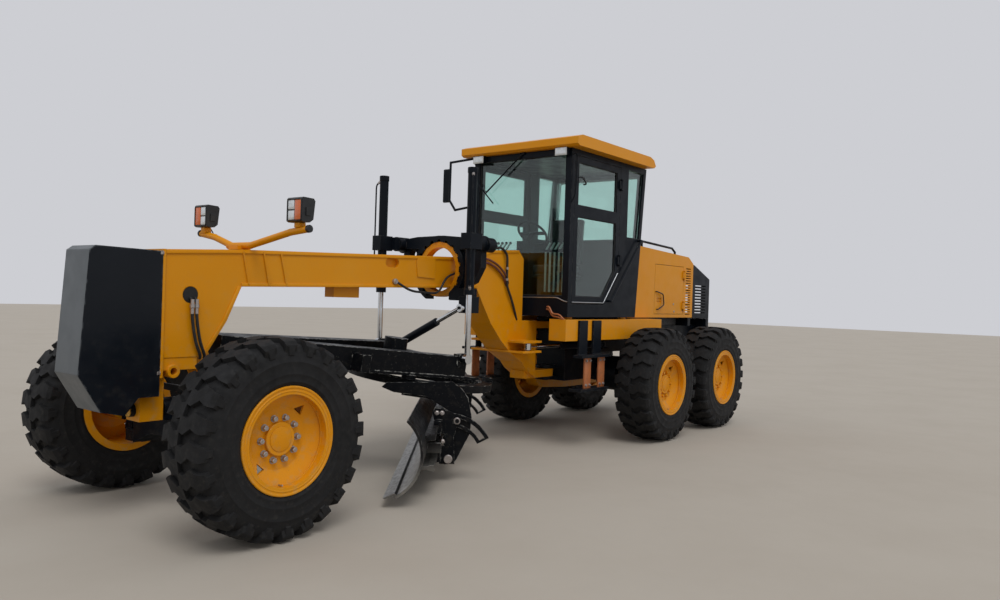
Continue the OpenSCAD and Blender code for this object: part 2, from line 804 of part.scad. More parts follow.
hood_profile = [
    [-hood_front, hood_z], [-hood_front, hood_top], [-7410, 2300], [-7570, 2210], [-7570, hood_z]
];
door_box = [[-7260, 1490], [-6400, 2150]];
engine_hinge_z = [1560, 1990];

// Height of the hood's top at a distance behind the front axle
function hood_top_at(back) = hood_top - (back - hood_front) * (hood_top - 2300) / (7410 - hood_front);

louvre_z = [for (i = [0 : 19]) 1480 + 34 * i];

module hood() {
    color(yellow) from_pivot() difference() {
        side_plate(hood_profile, -hood_half_w, hood_half_w);
        side_plate([[-hood_front - hood_t, hood_z - 10], [-hood_front - hood_t, hood_top - hood_t - 4],
            [-7400, 2260], [-7600, 2150], [-7600, hood_z - 10]], -hood_half_w + hood_t, hood_half_w - hood_t);
        block([door_box[0][0] - slide_gap, -1000, door_box[0][1] - slide_gap],
            [door_box[1][0] + slide_gap, 1000, door_box[1][1] + slide_gap]);
        for (z = louvre_z) block([-7500, -1000, z], [-7340, 1000, z + 14]);
    }
    color(yellow) from_pivot() both_sides() for (z = engine_hinge_z)
        hinge_ears([door_box[0][0] - 2.5, hood_half_w + hinge_out, z]);
}

module engine_door(side) {
    y = hood_half_w;
    color(yellow) from_pivot() on_side(side) {
        difference() {
            block([door_box[0][0], y - 35, door_box[0][1]], [door_box[1][0], y, door_box[1][1]]);
            block([-6600, y - 14, 1640], [-6470, y + 1, 1705]);
        }
        block([-6590, y - 16, 1664], [-6480, y - 4, 1682]);
        for (z = engine_hinge_z) hinge_sleeve([door_box[0][0] - 2.5, y + hinge_out, z]);
    }
}

grille_z = [for (i = [0 : 9]) 1500 + 44 * i];

module rear_grille() {
    color(black) from_pivot() difference() {
        side_plate([[-7570 - seat, hood_z], [-7570 - seat, 2205], [-7650, 2200], [-8190, 2010],
            [-8195, 1420]], -500, 500);
        side_plate([[-7560, 1400], [-7560, 2150], [-7650, 2140], [-8120, 1980], [-8120, 1400]], -450, 450);
        for (z = grille_z) {
            block([-8300, -400, z], [-8100, 400, z + 24]);
            block([-8060, -1000, z], [-7700, 1000, z + 16]);
        }
    }
}

module side_boxes() {
    color(yellow) from_pivot() both_sides() {
        block(sill_box[0], sill_box[1]);
        for (x = [-4200, -5400]) along_z([x, 600, 1430], 50, 2 * (cab_z - seat - 1430));
    }
}

module rear_axle() {
    color(black) from_axle() {
        along_y([-wheelbase, 0, tyre_r], 120, 1224 - 2 * seat);
        along_y([-wheelbase, 0, tyre_r], 230, 300);
        both_sides() block([-wheelbase - 150, 210, tyre_r], [-wheelbase + 150, 310, 790 - seat]);
    }
}

module tandem_cases() {
    y0 = 612;
    y1 = 800;
    half = tandem_pitch / 2;
    color(black) from_axle() both_sides() {
        side_plate([[-wheelbase - half, tyre_r - 200], [-wheelbase - half, tyre_r + 200],
            [-wheelbase - 250, tyre_r + 250], [-wheelbase + 250, tyre_r + 250],
            [-wheelbase + half, tyre_r + 200], [-wheelbase + half, tyre_r - 200],
            [-wheelbase + 250, tyre_r - 230], [-wheelbase - 250, tyre_r - 230]], y0, y1);
        for (back = [middle_back, rear_back]) {
            along_y([-back, (y0 + y1) / 2, tyre_r], 200, y1 - y0);
            bar([-back, y1 - 5, tyre_r], [-back, half_track + disc_offset, tyre_r], spindle_r);
            bar([-back, y1 - 5, tyre_r], [-back, half_track - hub_in - slide_gap, tyre_r], 100);
        }
    }
}

module tow_hitch() {
    color(black) from_pivot() difference() {
        union() {
            block([-8195, -500, 1000], [-8110 - seat, 500, 1420 - seat]);
            for (z = [860, 960]) {
                block([-8110, -90, z], [-7960, 90, z + 30]);
                translate([-8110, 0, z]) cylinder(h = 30, r = 82);
            }
            block([-8112, -90, 860], [-7960, 90, 1040 - seat]);
        }
        translate([-8110, 0, 700]) cylinder(h = 290.5, r = 26);
        block([-8300, -100, 891], [-8030, 100, 959]);
    }
}

// Cab

cab_back = cab_front + cab_l;
cab_back_top = cab_back + cab_rear_lean;
rear_slope = cab_rear_lean / (roof_z - cab_z);

// The cab's rear edge behind the front axle at a height
function rear_at(z) = cab_back + (z - cab_z) * rear_slope;

side_profile = [
    [-cab_front, cab_z], [-cab_front, roof_z], [-cab_back_top, roof_z], [-cab_back, cab_z]
];
door_profile = [[-4130, 1600], [-4130, 3230], [-5120, 3230], [-5120, 1960], [-4810, 1600]];
door_hole = [[-4125, 1595], [-4125, 3235], [-5125, 3235], [-5125, 1956], [-4814, 1595]];
door_panes = [
    [[-4210, 2690], [-4210, 3160], [-5045, 3160], [-5045, 2690]],
    [[-4210, 1680], [-4210, 2560], [-5045, 2560], [-5045, 1990], [-4785, 1680]]
];
quarter_pane = [[-5310, 2420], [-5310, 3230], [-rear_at(3230) + 60, 3230], [-rear_at(2420) + 60, 2420]];
front_pane = [[-610, 1680], [610, 1680], [610, 3230], [-610, 3230]];
rear_pane = [[-600, sill_z + 20], [600, sill_z + 20], [600, 3200], [-600, 3200]];
door_hinge = [-5122.5, cab_half_w + 16];
door_hinge_z = [2080, 2980];

// A pane's outline drawn in by a small margin
module pane(points, margin) {
    offset(delta = -margin) polygon(points);
}

// A pane or an opening in x and z, thick from y0 to y1
module side_pane(points, margin, y0, y1) {
    translate([0, y1, 0]) rotate([90, 0, 0]) linear_extrude(y1 - y0) pane(points, margin);
}

// A pane or an opening in y and z, thick from x0 to x1
module cross_pane(points, margin, x0, x1) {
    translate([x0, 0, 0]) rotate([90, 0, 90]) linear_extrude(x1 - x0) pane(points, margin);
}

module cab_frame() {
    color(black) from_pivot() {
        difference() {
            side_plate(side_profile, -cab_half_w, cab_half_w);
            side_plate([[-cab_front - cab_wall, cab_z + 60], [-cab_front - cab_wall, roof_z - 40],
                [-rear_at(roof_z - 40) + cab_wall, roof_z - 40],
                [-rear_at(cab_z + 60) + cab_wall, cab_z + 60]],
                -cab_half_w + cab_wall, cab_half_w - cab_wall);
            side_plate(door_hole, -1000, 1000);
            side_plate(quarter_pane, -1000, 1000);
            cross_plate(front_pane, -cab_front - cab_wall - 10, -cab_front + 10);
            cross_plate(rear_pane, -cab_back_top - 10, -rear_at(sill_z) + cab_wall + 10);
        }
        both_sides() for (z = door_hinge_z) hinge_ears([door_hinge[0], door_hinge[1], z]);
    }
}

module cab_roof() {
    color(yellow) from_pivot() side_plate([[-3960, roof_z + 20], [-3960, roof_z + roof_t - 30],
        [-4050, roof_z + roof_t], [-5600, roof_z + roof_t], [-5690, roof_z + roof_t - 30],
        [-5740, roof_z + 30], [-5700, roof_z + seat], [-4000, roof_z + seat]], -roof_half_w, roof_half_w);
}

module cab_glass() {
    color(glass_blue, 0.5) from_pivot() {
        cross_pane(front_pane, seat, -cab_front - 34, -cab_front - 34 + glass_t);
        cross_pane(rear_pane, seat, -rear_at(sill_z) - 20, -rear_at(sill_z) - 20 + glass_t);
        both_sides() side_pane(quarter_pane, seat, cab_half_w - 34, cab_half_w - 34 + glass_t);
    }
}

module cab_door(side) {
    color(black) from_pivot() on_side(side) {
        difference() {
            side_plate(door_profile, cab_half_w - 45, cab_half_w);
            for (p = door_panes) side_plate(p, 0, 1000);
        }
        for (z = door_hinge_z) hinge_sleeve([door_hinge[0], door_hinge[1], z]);
    }
}

module door_glass(side) {
    color(glass_blue, 0.5) from_pivot() on_side(side)
        for (p = door_panes) side_pane(p, seat, cab_half_w - 26, cab_half_w - 26 + glass_t);
}

module cab_seat() {
    color(black) from_pivot() {
        block([-5050, -240, 1930], [-4570, 240, 2050]);
        side_plate([[-5050, 2000], [-5110, 2650], [-5010, 2660], [-4940, 2040]], -230, 230);
        block([-4950, -160, cab_z + 60 + seat], [-4670, 160, 1931]);
    }
}

lever_y = [290, 350, 410, 470, 530];

module cab_controls() {
    console_x = -4170;
    top = [console_x - 150, 0, 2400];
    color(black) from_pivot() {
        block([console_x - 60, -90, cab_z + 60 + seat], [console_x + 30, 90, 2300]);
        bar([console_x - 20, 0, 2270], top, 30);
        for (side = [-1, 1]) {
            block([console_x - 70, side * 430 - 170, cab_z + 60 + seat],
                [console_x + 20, side * 430 + 170, 1720]);
            for (y = lever_y) {
                bar([console_x - 20, side * y, 1700], [console_x - 20, side * y, 2190], 10);
                bar([console_x - 20, side * y, 2180], [console_x - 110, side * y, 2290], 8);
                translate([console_x - 110, side * y, 2290]) sphere(r = 17);
            }
        }
        block([console_x - 32, -590, 2170], [console_x - 8, 590, 2200]);
        translate(top) rotate([0, -42, 0]) {
            rotate_extrude() translate([180, 0]) circle(r = 14);
            block([-18, -180, -12], [18, 180, 8]);
        }
    }
}

// Handrails of the left side: each is a list of points measured from the front axle
rail_paths = [
    [[-4900, cab_half_w + seat, 1640], [-4900, 735, 1640], [-5590, 735, 2395],
        [-5590, cab_half_w + seat, 2395]],
    [[-6040, 500, hood_top_at(6040) + 1], [-6040, 500, 2430], [-6910, 500, 2394],
        [-7000, 500, 2346], [-7000, 500, hood_top_at(7000) + 1]]
];
mirror_path = [[-4026, -650, 3284], [-4012, -1040, 3262], [-3990, -1022, 2800], [-4004, -940, 2680],
    [-4045, -664, 2722]];
work_lamp_y = [-585, 585];
wiper_path = [[-4050, 30, 3290], [-4040, 0, 3262], [-4036, -500, 2860]];

module rails_and_lamps() {
    color(black) from_pivot() {
        both_sides() for (p = rail_paths) pipe(p, 15);
        pipe(mirror_path, 14);
        block([-4060 + seat, -690, 2700], [-4035, -640, 2744]);
        block([-4046, -690, 3268], [-4006, -620, roof_z]);
        side_plate([[-4028, 2780], [-4010, 2790], [-4010, 3180], [-4028, 3190]], -1150, -1045);
        for (y = work_lamp_y) {
            block([-4052, y - 75, 3215], [-3990, y + 75, 3298]);
            translate([-4022, y, 3290]) cylinder(h = roof_z - 3290, r = 12);
        }
        pipe(wiper_path, 9);
        block([-4060 + seat, 10, 3275], [-4040, 50, roof_z]);
        bar([-4036, -380, 2740], [-4036, -620, 2980], 8);
    }
}

module ladders() {
    step_x = [-4700, -4120];
    color(black) from_pivot() both_sides() {
        block([step_x[0], sill_box[1][1] - 20, 640], [step_x[1], 860, 670]);
        block([step_x[0], 742, 1010], [step_x[1], 860, 1040]);
        for (x = strap_x) {
            block([x - 62, 795, 665], [x + 62, 812, 1015]);
            block([x - 85, sill_box[1][1] + seat, 1012], [x + 85, 745, 1415]);
        }
    }
}

// Articulation cylinders

module bend_barrel(side) {
    d = (bend_rear - bend_front) / norm(bend_rear - bend_front);
    color(black) from_pivot() on_side(side) difference() {
        union() {
            bar(bend_front + d * 560, bend_rear - d * 80, 42);
            bar(bend_rear - d * 90, bend_rear, 21);
            along_z(bend_rear, 45, 46);
        }
        bar(bend_front + d * 500, bend_front + d * 1240, 24 + bore_gap);
        along_z(bend_rear, 20 + bore_gap, 200);
    }
}

module bend_rod(side) {
    d = (bend_rear - bend_front) / norm(bend_rear - bend_front);
    color(chrome) from_pivot() on_side(side) {
        along_z(bend_front, 42, 70);
        bar(bend_front, bend_front + d * 900, 24);
    }
}

rear_frame();
engine();
hood();
engine_door(1);  // engine_door_left
engine_door(-1);  // engine_door_right
rear_grille();
side_boxes();
rear_axle();
tandem_cases();
tow_hitch();
front_frame();
nose_cover();
lamp_bar();
lamps();
saddle();
lift_barrels();
hoses();
front_axle();
cab_frame();
cab_roof();
cab_glass();
cab_seat();
cab_controls();
cab_door(1);  // cab_door_left
door_glass(1);  // door_glass_left
cab_door(-1);  // cab_door_right
door_glass(-1);  // door_glass_right
ladders();
rails_and_lamps();
drawbar();
lift_rods();
shift_rod();
shift_barrel();
blade_circle();
blade_carrier();
mouldboard();
cutting_edge();
side_shift_rod();
lean_yoke(1);  // lean_yoke_left
lean_yoke(-1);  // lean_yoke_right
lean_bar();
knuckle(1);  // knuckle_left
knuckle(-1);  // knuckle_right
tie_rod();
bend_barrel(1);  // bend_barrel_left
bend_barrel(-1);  // bend_barrel_right
bend_rod(1);  // bend_rod_left
bend_rod(-1);  // bend_rod_right
tyre(0, 1);  // tyre_front_left
tyre(0, -1);  // tyre_front_right
tyre(middle_back, 1);  // tyre_middle_left
tyre(middle_back, -1);  // tyre_middle_right
tyre(rear_back, 1);  // tyre_rear_left
tyre(rear_back, -1);  // tyre_rear_right
rim(0, 1);  // rim_front_left
rim(0, -1);  // rim_front_right
rim(middle_back, 1);  // rim_middle_left
rim(middle_back, -1);  // rim_middle_right
rim(rear_back, 1);  // rim_rear_left
rim(rear_back, -1);  // rim_rear_right
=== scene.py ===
"""Motor grader: finishes, fittings, glazing, seat, stage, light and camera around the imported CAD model.

Everything is in metres in the row's frame: +X forward, +Y to the machine's left, +Z up, ground at z = 0.
Places are written in millimetres from the front axle, as the part's source gives them.
"""
import math

import bmesh
import bpy
from mathutils import Matrix, Vector


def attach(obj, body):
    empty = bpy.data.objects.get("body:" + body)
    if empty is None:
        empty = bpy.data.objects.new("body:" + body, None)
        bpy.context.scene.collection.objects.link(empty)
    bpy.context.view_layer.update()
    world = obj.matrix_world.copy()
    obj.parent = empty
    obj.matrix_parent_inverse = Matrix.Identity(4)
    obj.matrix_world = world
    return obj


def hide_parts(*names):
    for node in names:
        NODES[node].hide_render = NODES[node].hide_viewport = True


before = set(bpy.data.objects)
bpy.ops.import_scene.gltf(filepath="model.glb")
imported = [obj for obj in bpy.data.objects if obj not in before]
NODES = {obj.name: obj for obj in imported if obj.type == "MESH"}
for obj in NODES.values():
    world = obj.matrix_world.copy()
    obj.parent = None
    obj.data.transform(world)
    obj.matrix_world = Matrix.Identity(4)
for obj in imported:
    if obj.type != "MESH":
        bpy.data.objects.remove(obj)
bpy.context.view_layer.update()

HANDS = {1: "left", -1: "right"}

# The front axle's place in the row's frame, in metres
FRONT_AXLE_X = 3.665
# The wheels: height of the hubs, which is also the tyres' radius, half the track, and each row's place
HUB_Z = 669.0
TRACK_Y = 1040.0
WHEELS = {"front": 0.0, "middle": -5517.5, "rear": -7062.5}
# The circle's centre, and the blade's turn about it
CIRCLE_X = -2524.0
BLADE_TURN = math.radians(-50)


def at(x_mm, y_mm, z_mm):
    """A point given in millimetres from the front axle, in metres in the row's frame."""
    return Vector((FRONT_AXLE_X + x_mm / 1000, y_mm / 1000, z_mm / 1000))


def at_circle(x_mm, y_mm, z_mm):
    """A point on the blade set, given from the circle's centre in the blade's own directions."""
    c, s = math.cos(BLADE_TURN), math.sin(BLADE_TURN)
    return at(CIRCLE_X + c * x_mm - s * y_mm, s * x_mm + c * y_mm, z_mm)


def placed(name, data):
    """An object of that data, linked to the scene."""
    made = bpy.data.objects.new(name, data)
    bpy.context.scene.collection.objects.link(made)
    return made


def mesh_of(name, form):
    """A mesh of the form, which is used up."""
    mesh = bpy.data.meshes.new(name)
    form.to_mesh(mesh)
    form.free()
    return mesh


def plain_mesh(item):
    """The plain mesh that an object's modifiers make at this frame."""
    graph = bpy.context.evaluated_depsgraph_get()
    return bpy.data.meshes.new_from_object(item.evaluated_get(graph), depsgraph=graph)


# Camera, solved from the photograph's wheels, cab and beam. The focal length is in pixels of an image of that width.

CAMERA_AT = Vector((FRONT_AXLE_X + 3.2632, 5.5246, 1.6453))
CAMERA_YAW, CAMERA_PITCH, CAMERA_ROLL = -2.473998, -0.003465, -0.031826
FOCAL_PX = 803.265
IMAGE_W = 1000
SENSOR_MM = 36.0
FARTHEST_M = 200


def make_camera():
    """The camera at the photograph's viewpoint."""
    cy, sy = math.cos(CAMERA_YAW), math.sin(CAMERA_YAW)
    cp, sp = math.cos(CAMERA_PITCH), math.sin(CAMERA_PITCH)
    forward = Vector((cy * cp, sy * cp, sp))
    right = Vector((sy, -cy, 0.0))
    down = forward.cross(right)
    cr, sr = math.cos(CAMERA_ROLL), math.sin(CAMERA_ROLL)
    image_right = cr * right + sr * down
    image_down = cr * down - sr * right
    turn = Matrix((image_right, -image_down, -forward)).transposed().to_4x4()
    data = bpy.data.cameras.new("camera")
    data.sensor_width = SENSOR_MM
    data.lens = FOCAL_PX * SENSOR_MM / IMAGE_W
    data.clip_end = FARTHEST_M
    camera = placed("camera", data)
    camera.matrix_world = Matrix.Translation(CAMERA_AT) @ turn
    bpy.context.scene.camera = camera


make_camera()


# Finishes

# Levels of detail in the noise of stains, of chips and of grain and gloss
STAIN_DETAIL, CHIP_DETAIL, FINE_DETAIL = 5.0, 6.0, 3.0
STAIN_ROUGHNESS = 0.6
# Cosines between the rounded and the flat normal at which an edge starts to be rubbed, and is rubbed in full
RUB_STARTS, RUB_FULL = 0.995, 0.93
# Size of the chips along an edge, and the noise at which they start and are full
CHIP_MM, CHIP_STARTS, CHIP_FULL = 45, 0.47, 0.60
# The noise that stands for the lowest and for the highest roughness
SMOOTH_NOISE, DULL_NOISE = 0.35, 0.65
# Stretch of the grain by axis: even, moulded flutes, brushed
EVEN = (1.0, 1.0, 1.0)
FLUTES = (1.0, 6.0, 0.3)
BRUSHED = (0.2, 0.2, 4.0)


def linear(hex_colour):
    """An sRGB hex colour as a linear RGBA tuple."""
    parts = [int(hex_colour[i:i + 2], 16) / 255 for i in (1, 3, 5)]
    return tuple(c / 12.92 if c <= 0.04045 else ((c + 0.055) / 1.055) ** 2.4 for c in parts) + (1.0,)


def add(tree, kind, inputs=(), **settings):
    """Adds a node with those settings, and gives its inputs their values or links."""
    node = tree.nodes.new(kind)
    for key, value in settings.items():
        setattr(node, key, value)
    for key, value in dict(inputs).items():
        if isinstance(value, bpy.types.NodeSocket):
            tree.links.new(value, node.inputs[key])
        else:
            node.inputs[key].default_value = value
    return node


def finish(name, colour, rough, metallic=0.0, stains=(), gloss=None, grain=(), edge=None, uniform=()):
    """A Principled material.

    stains: (pattern mm, starts at, full at, amount, colour, fade), with fade None or (full below mm, least above mm,
    least share). gloss: (pattern mm, lowest, highest roughness). grain: (pattern mm, depth mm, stretch by axis).
    edge: (rounding mm, colour, amount) for plate edges that are broken by a radius and rubbed.
    """
    material = bpy.data.materials.new(name)
    material.use_nodes = True
    tree = material.node_tree
    shader = tree.nodes["Principled BSDF"]
    plain = {"Base Color": linear(colour), "Roughness": rough, "Metallic": metallic}
    for key, value in {**plain, **dict(uniform)}.items():
        shader.inputs[key].default_value = value
    place = add(tree, "ShaderNodeTexCoord").outputs["Object"]
    height = add(tree, "ShaderNodeSeparateXYZ", {"Vector": place}).outputs["Z"]
    paint = linear(colour)
    for size, low, high, amount, stain, fade in stains:
        spots = add(tree, "ShaderNodeTexNoise", {
            "Vector": place, "Scale": 1000 / size, "Detail": STAIN_DETAIL, "Roughness": STAIN_ROUGHNESS})
        cover = add(tree, "ShaderNodeMapRange", {
            "Value": spots.outputs["Fac"], "From Min": low, "From Max": high, "To Max": amount}).outputs["Result"]
        if fade:
            full_below, least_above, least = fade
            share = add(tree, "ShaderNodeMapRange", {
                "Value": height, "From Min": full_below / 1000, "From Max": least_above / 1000,
                "To Min": 1.0, "To Max": least})
            cover = add(tree, "ShaderNodeMath", {0: cover, 1: share.outputs["Result"]},
                        operation="MULTIPLY").outputs[0]
        paint = add(tree, "ShaderNodeMix", {"Factor": cover, "A": paint, "B": linear(stain)},
                    data_type="RGBA").outputs["Result"]
    normal = None
    if edge:
        radius, rubbed, amount = edge
        rounded = add(tree, "ShaderNodeBevel", {"Radius": radius / 1000}, samples=4).outputs["Normal"]
        flat = add(tree, "ShaderNodeNewGeometry").outputs["Normal"]
        turn = add(tree, "ShaderNodeVectorMath", {0: rounded, 1: flat}, operation="DOT_PRODUCT").outputs["Value"]
        chips = add(tree, "ShaderNodeTexNoise", {
            "Vector": place, "Scale": 1000 / CHIP_MM, "Detail": CHIP_DETAIL}).outputs["Fac"]
        worn = add(tree, "ShaderNodeMapRange", {
            "Value": turn, "From Min": RUB_STARTS, "From Max": RUB_FULL, "To Max": amount})
        bare = add(tree, "ShaderNodeMapRange", {"Value": chips, "From Min": CHIP_STARTS, "From Max": CHIP_FULL})
        cover = add(tree, "ShaderNodeMath", {0: worn.outputs["Result"], 1: bare.outputs["Result"]},
                    operation="MULTIPLY").outputs[0]
        paint = add(tree, "ShaderNodeMix", {"Factor": cover, "A": paint, "B": linear(rubbed)},
                    data_type="RGBA").outputs["Result"]
        normal = rounded
    for size, depth, stretch in grain:
        run = add(tree, "ShaderNodeMapping", {"Vector": place, "Scale": stretch}).outputs["Vector"]
        relief = add(tree, "ShaderNodeTexNoise", {
            "Vector": run, "Scale": 1000 / size, "Detail": FINE_DETAIL}).outputs["Fac"]
        sunk = {"Height": relief, "Distance": depth / 1000, "Strength": 1.0}
        if normal:
            sunk["Normal"] = normal
        normal = add(tree, "ShaderNodeBump", sunk).outputs["Normal"]
    if normal:
        tree.links.new(normal, shader.inputs["Normal"])
    if not isinstance(paint, tuple):
        tree.links.new(paint, shader.inputs["Base Color"])
    if gloss:
        size, lowest, highest = gloss
        film = add(tree, "ShaderNodeTexNoise", {"Vector": place, "Scale": 1000 / size, "Detail": FINE_DETAIL})
        sheen = add(tree, "ShaderNodeMapRange", {
            "Value": film.outputs["Fac"], "From Min": SMOOTH_NOISE, "From Max": DULL_NOISE,
            "To Min": lowest, "To Max": highest})
        tree.links.new(sheen.outputs["Result"], shader.inputs["Roughness"])
    return material


def facing_paint(material, colour, toward, low, high):
    """Lays a colour over the faces that look toward a direction of the row's frame.

    low and high are the cosines to that direction between which the colour comes in. The border is right at rest;
    on a body that turns far, it moves over the piece.
    """
    tree = material.node_tree
    base = tree.nodes["Principled BSDF"].inputs["Base Color"]
    normal = add(tree, "ShaderNodeNewGeometry").outputs["Normal"]
    look = add(tree, "ShaderNodeVectorMath", {0: normal, 1: Vector(toward).normalized()}, operation="DOT_PRODUCT")
    share = add(tree, "ShaderNodeMapRange", {"Value": look.outputs["Value"], "From Min": low, "From Max": high})
    mixed = add(tree, "ShaderNodeMix", {
        "Factor": share.outputs["Result"], "A": base.links[0].from_socket, "B": linear(colour)}, data_type="RGBA")
    tree.links.new(mixed.outputs["Result"], base)


ENAMEL = {"Specular IOR Level": 0.2, "Coat Weight": 0.04, "Coat Roughness": 0.1}
DARK = {"Specular IOR Level": 0.1, "Coat Weight": 0.02, "Coat Roughness": 0.1}

# Two-pack enamel sprayed on welded plate: deep yellow, slight orange peel, sun-paled patches, road dust low down.
YELLOW = finish(
    "yellow_enamel", "#dc8f05", 0.36, uniform=ENAMEL, gloss=(140, 0.3, 0.46),
    stains=[(620, 0.45, 0.75, 0.35, "#dc9c26", None), (70, 0.52, 0.74, 0.5, "#a8946e", (350, 1700, 0.1)),
            (9, 0.62, 0.72, 0.5, "#8f6a2c", (300, 2300, 0.25))],
    grain=[(4.0, 0.02, EVEN)], edge=(7, "#c9a25a", 0.5))
# The same enamel in black: blue-black, with pale dust settled low down and edges rubbed to grey.
BLACK = finish(
    "black_enamel", "#10151c", 0.36, uniform=DARK, gloss=(120, 0.28, 0.46),
    stains=[(500, 0.5, 0.75, 0.3, "#1f242b", None), (80, 0.50, 0.72, 0.45, "#4a453c", (300, 1300, 0.03))],
    grain=[(4.0, 0.02, EVEN)], edge=(6, "#6d6a64", 0.55))
# Drawbar, circle and blade carrier: the same black enamel, chipped and dusty, with bright bare edges.
WORN_BLACK = finish(
    "chipped_black_enamel", "#0c0e12", 0.4, uniform=DARK, gloss=(90, 0.32, 0.55),
    stains=[(60, 0.52, 0.70, 0.35, "#3a362f", (200, 1500, 0.2)), (14, 0.64, 0.71, 0.5, "#7a766c", None)],
    grain=[(3.0, 0.04, EVEN)], edge=(8, "#b9b7b0", 0.9))
# Carbon black tyre rubber: matt, with a grey dust bloom and the fine skin of the mould.
RUBBER = finish(
    "tyre_rubber", "#111112", 0.8, uniform={"Specular IOR Level": 0.35}, gloss=(60, 0.66, 0.88),
    stains=[(240, 0.45, 0.75, 0.3, "#2b2b2d", None), (35, 0.54, 0.74, 0.3, "#4a463f", (100, 1200, 0.4))],
    grain=[(5.0, 0.25, EVEN)])
# Rolled mouldboard: black enamel at the top, scoured by soil to streaky grey steel towards the edge.
BLADE_STEEL = finish(
    "scoured_mouldboard", "#1a1a1b", 0.42, 0.5, gloss=(40, 0.3, 0.55),
    stains=[(260, 0.15, 0.42, 0.95, "#7c7973", (200, 400, 0.0)), (55, 0.55, 0.68, 0.5, "#9b9891", (150, 330, 0.0)),
            (18, 0.60, 0.70, 0.35, "#5f4630", (300, 800, 0.3))],
    grain=[(8.0, 0.1, EVEN)], edge=(8, "#a9a7a1", 0.7))
# Quenched edge steel, ground bright by the road.
EDGE_STEEL = finish(
    "ground_edge_steel", "#76746f", 0.38, 0.7, gloss=(30, 0.3, 0.52),
    stains=[(90, 0.48, 0.66, 0.6, "#46423d", None)], grain=[(5.0, 0.06, EVEN)], edge=(5, "#b9b8b3", 0.8))
# Behind, mouldboard and edge are still black.
BLADE_BACK = (-math.cos(BLADE_TURN), -math.sin(BLADE_TURN), 0)
for steel in (BLADE_STEEL, EDGE_STEEL):
    facing_paint(steel, "#17181a", BLADE_BACK, 0.0, 0.12)
# Hard chrome on a ground rod: near mirror under a thin film of oil.
CHROME = finish("hard_chrome", "#d3d5d7", 0.12, 1.0, gloss=(160, 0.06, 0.2))
# Zinc-plated steel of nuts, bolts and hose ends: pale grey with dull spots.
ZINC = finish("zinc_plated_steel", "#b5aeaa", 0.34, 0.85, gloss=(12, 0.26, 0.46),
              stains=[(16, 0.52, 0.70, 0.5, "#6e655e", None)], grain=[(2.5, 0.03, EVEN)])
# Bronze thrust face of the axle's hang pin, turned in a lathe.
BRASS = finish("turned_bronze", "#c99a3e", 0.3, 0.9, gloss=(25, 0.22, 0.42),
               stains=[(30, 0.5, 0.7, 0.45, "#8a642a", None)], grain=[(1.5, 0.02, EVEN)])
# Grey iron from a sand mould, with a coarse grain.
IRON = finish("cast_iron", "#4d4e50", 0.6, 0.5, gloss=(30, 0.5, 0.72),
              stains=[(30, 0.45, 0.7, 0.5, "#35322f", None)], grain=[(3.0, 0.25, EVEN)], edge=(4, "#77777a", 0.4))
# Nose cover: black enamel on its sides, with a painted sheen on the faces that look forward: satin grey painted into
# the colour for the bright sky's reflection.
NOSE_ENAMEL_AND_PAINTED_SHEEN = finish("nose_cover_enamel_and_painted_sheen", "#0f141b", 0.34, uniform=ENAMEL, gloss=(120, 0.28, 0.44),
              stains=[(500, 0.5, 0.75, 0.3, "#1d232b", None), (80, 0.52, 0.74, 0.35, "#4d4a43", (600, 1500, 0.05))],
              # The grey along the broad rounded edges is chipped paint and partly a painted highlight.
              grain=[(4.0, 0.02, EVEN)], edge=(14, "#7f8487", 0.6))
# Painted sheen: grey laid on the faces that look forward, standing in for the sky's reflection.
facing_paint(NOSE_ENAMEL_AND_PAINTED_SHEEN, "#5c6165", (1, 0, 0), 0.45, 0.6)
# Toughened sheet glass, body-tinted green-blue.
GLASS = finish("tinted_glass", "#d6f1ea", 0.04, gloss=(320, 0.02, 0.07),
               uniform={"Transmission Weight": 1.0, "IOR": 1.52, "Specular IOR Level": 0.5})
# Extruded hose cover: black rubber with a faint cloth print.
HOSE = finish("hose_rubber", "#1a1a1c", 0.58, gloss=(30, 0.48, 0.68),
              stains=[(40, 0.5, 0.7, 0.4, "#3a3835", None)], grain=[(2.2, 0.12, EVEN)])
# Hose with a red-brown abrasion cover.
RED_HOSE = finish("red_hose_cover", "#6e3a2c", 0.55, gloss=(30, 0.45, 0.65),
                  stains=[(50, 0.5, 0.7, 0.5, "#3c2a24", None)], grain=[(2.2, 0.12, EVEN)])
# Steel pipe and hanger straps in orange-brown primer.
PRIMER = finish("orange_primer", "#b36a3c", 0.5, uniform={"Coat Weight": 0.15}, gloss=(60, 0.42, 0.6),
                stains=[(60, 0.5, 0.7, 0.5, "#8c5a3e", None), (18, 0.58, 0.7, 0.4, "#6f6258", None)],
                grain=[(3.0, 0.04, EVEN)])
# Injection-moulded ABS lamp body: satin black with the mould's fine grain.
ABS = finish("moulded_abs", "#17181a", 0.42, gloss=(40, 0.36, 0.5),
             stains=[(90, 0.5, 0.72, 0.3, "#3c3b38", None)], grain=[(1.4, 0.03, EVEN)], edge=(3, "#4a4a4a", 0.3))
# White-painted lamp body and lever stems.
WHITE = finish("white_enamel", "#cfd1d0", 0.35, gloss=(40, 0.3, 0.45),
               stains=[(60, 0.5, 0.72, 0.4, "#a09d96", None)], grain=[(3.0, 0.02, EVEN)])
# Clear polycarbonate lens over a bright reflector, moulded with fine flutes.
CLEAR = finish("clear_lens", "#dfe4e6", 0.1, 0.35, gloss=(25, 0.06, 0.16), uniform={"Coat Weight": 0.8},
               stains=[(30, 0.45, 0.65, 0.35, "#9aa3a8", None)], grain=[(9.0, 0.5, FLUTES)])
# Amber polycarbonate lens.
AMBER = finish("amber_lens", "#d8650c", 0.16, gloss=(25, 0.12, 0.24), uniform={"Coat Weight": 0.7},
               stains=[(30, 0.45, 0.65, 0.3, "#a84408", None)], grain=[(9.0, 0.5, FLUTES)])
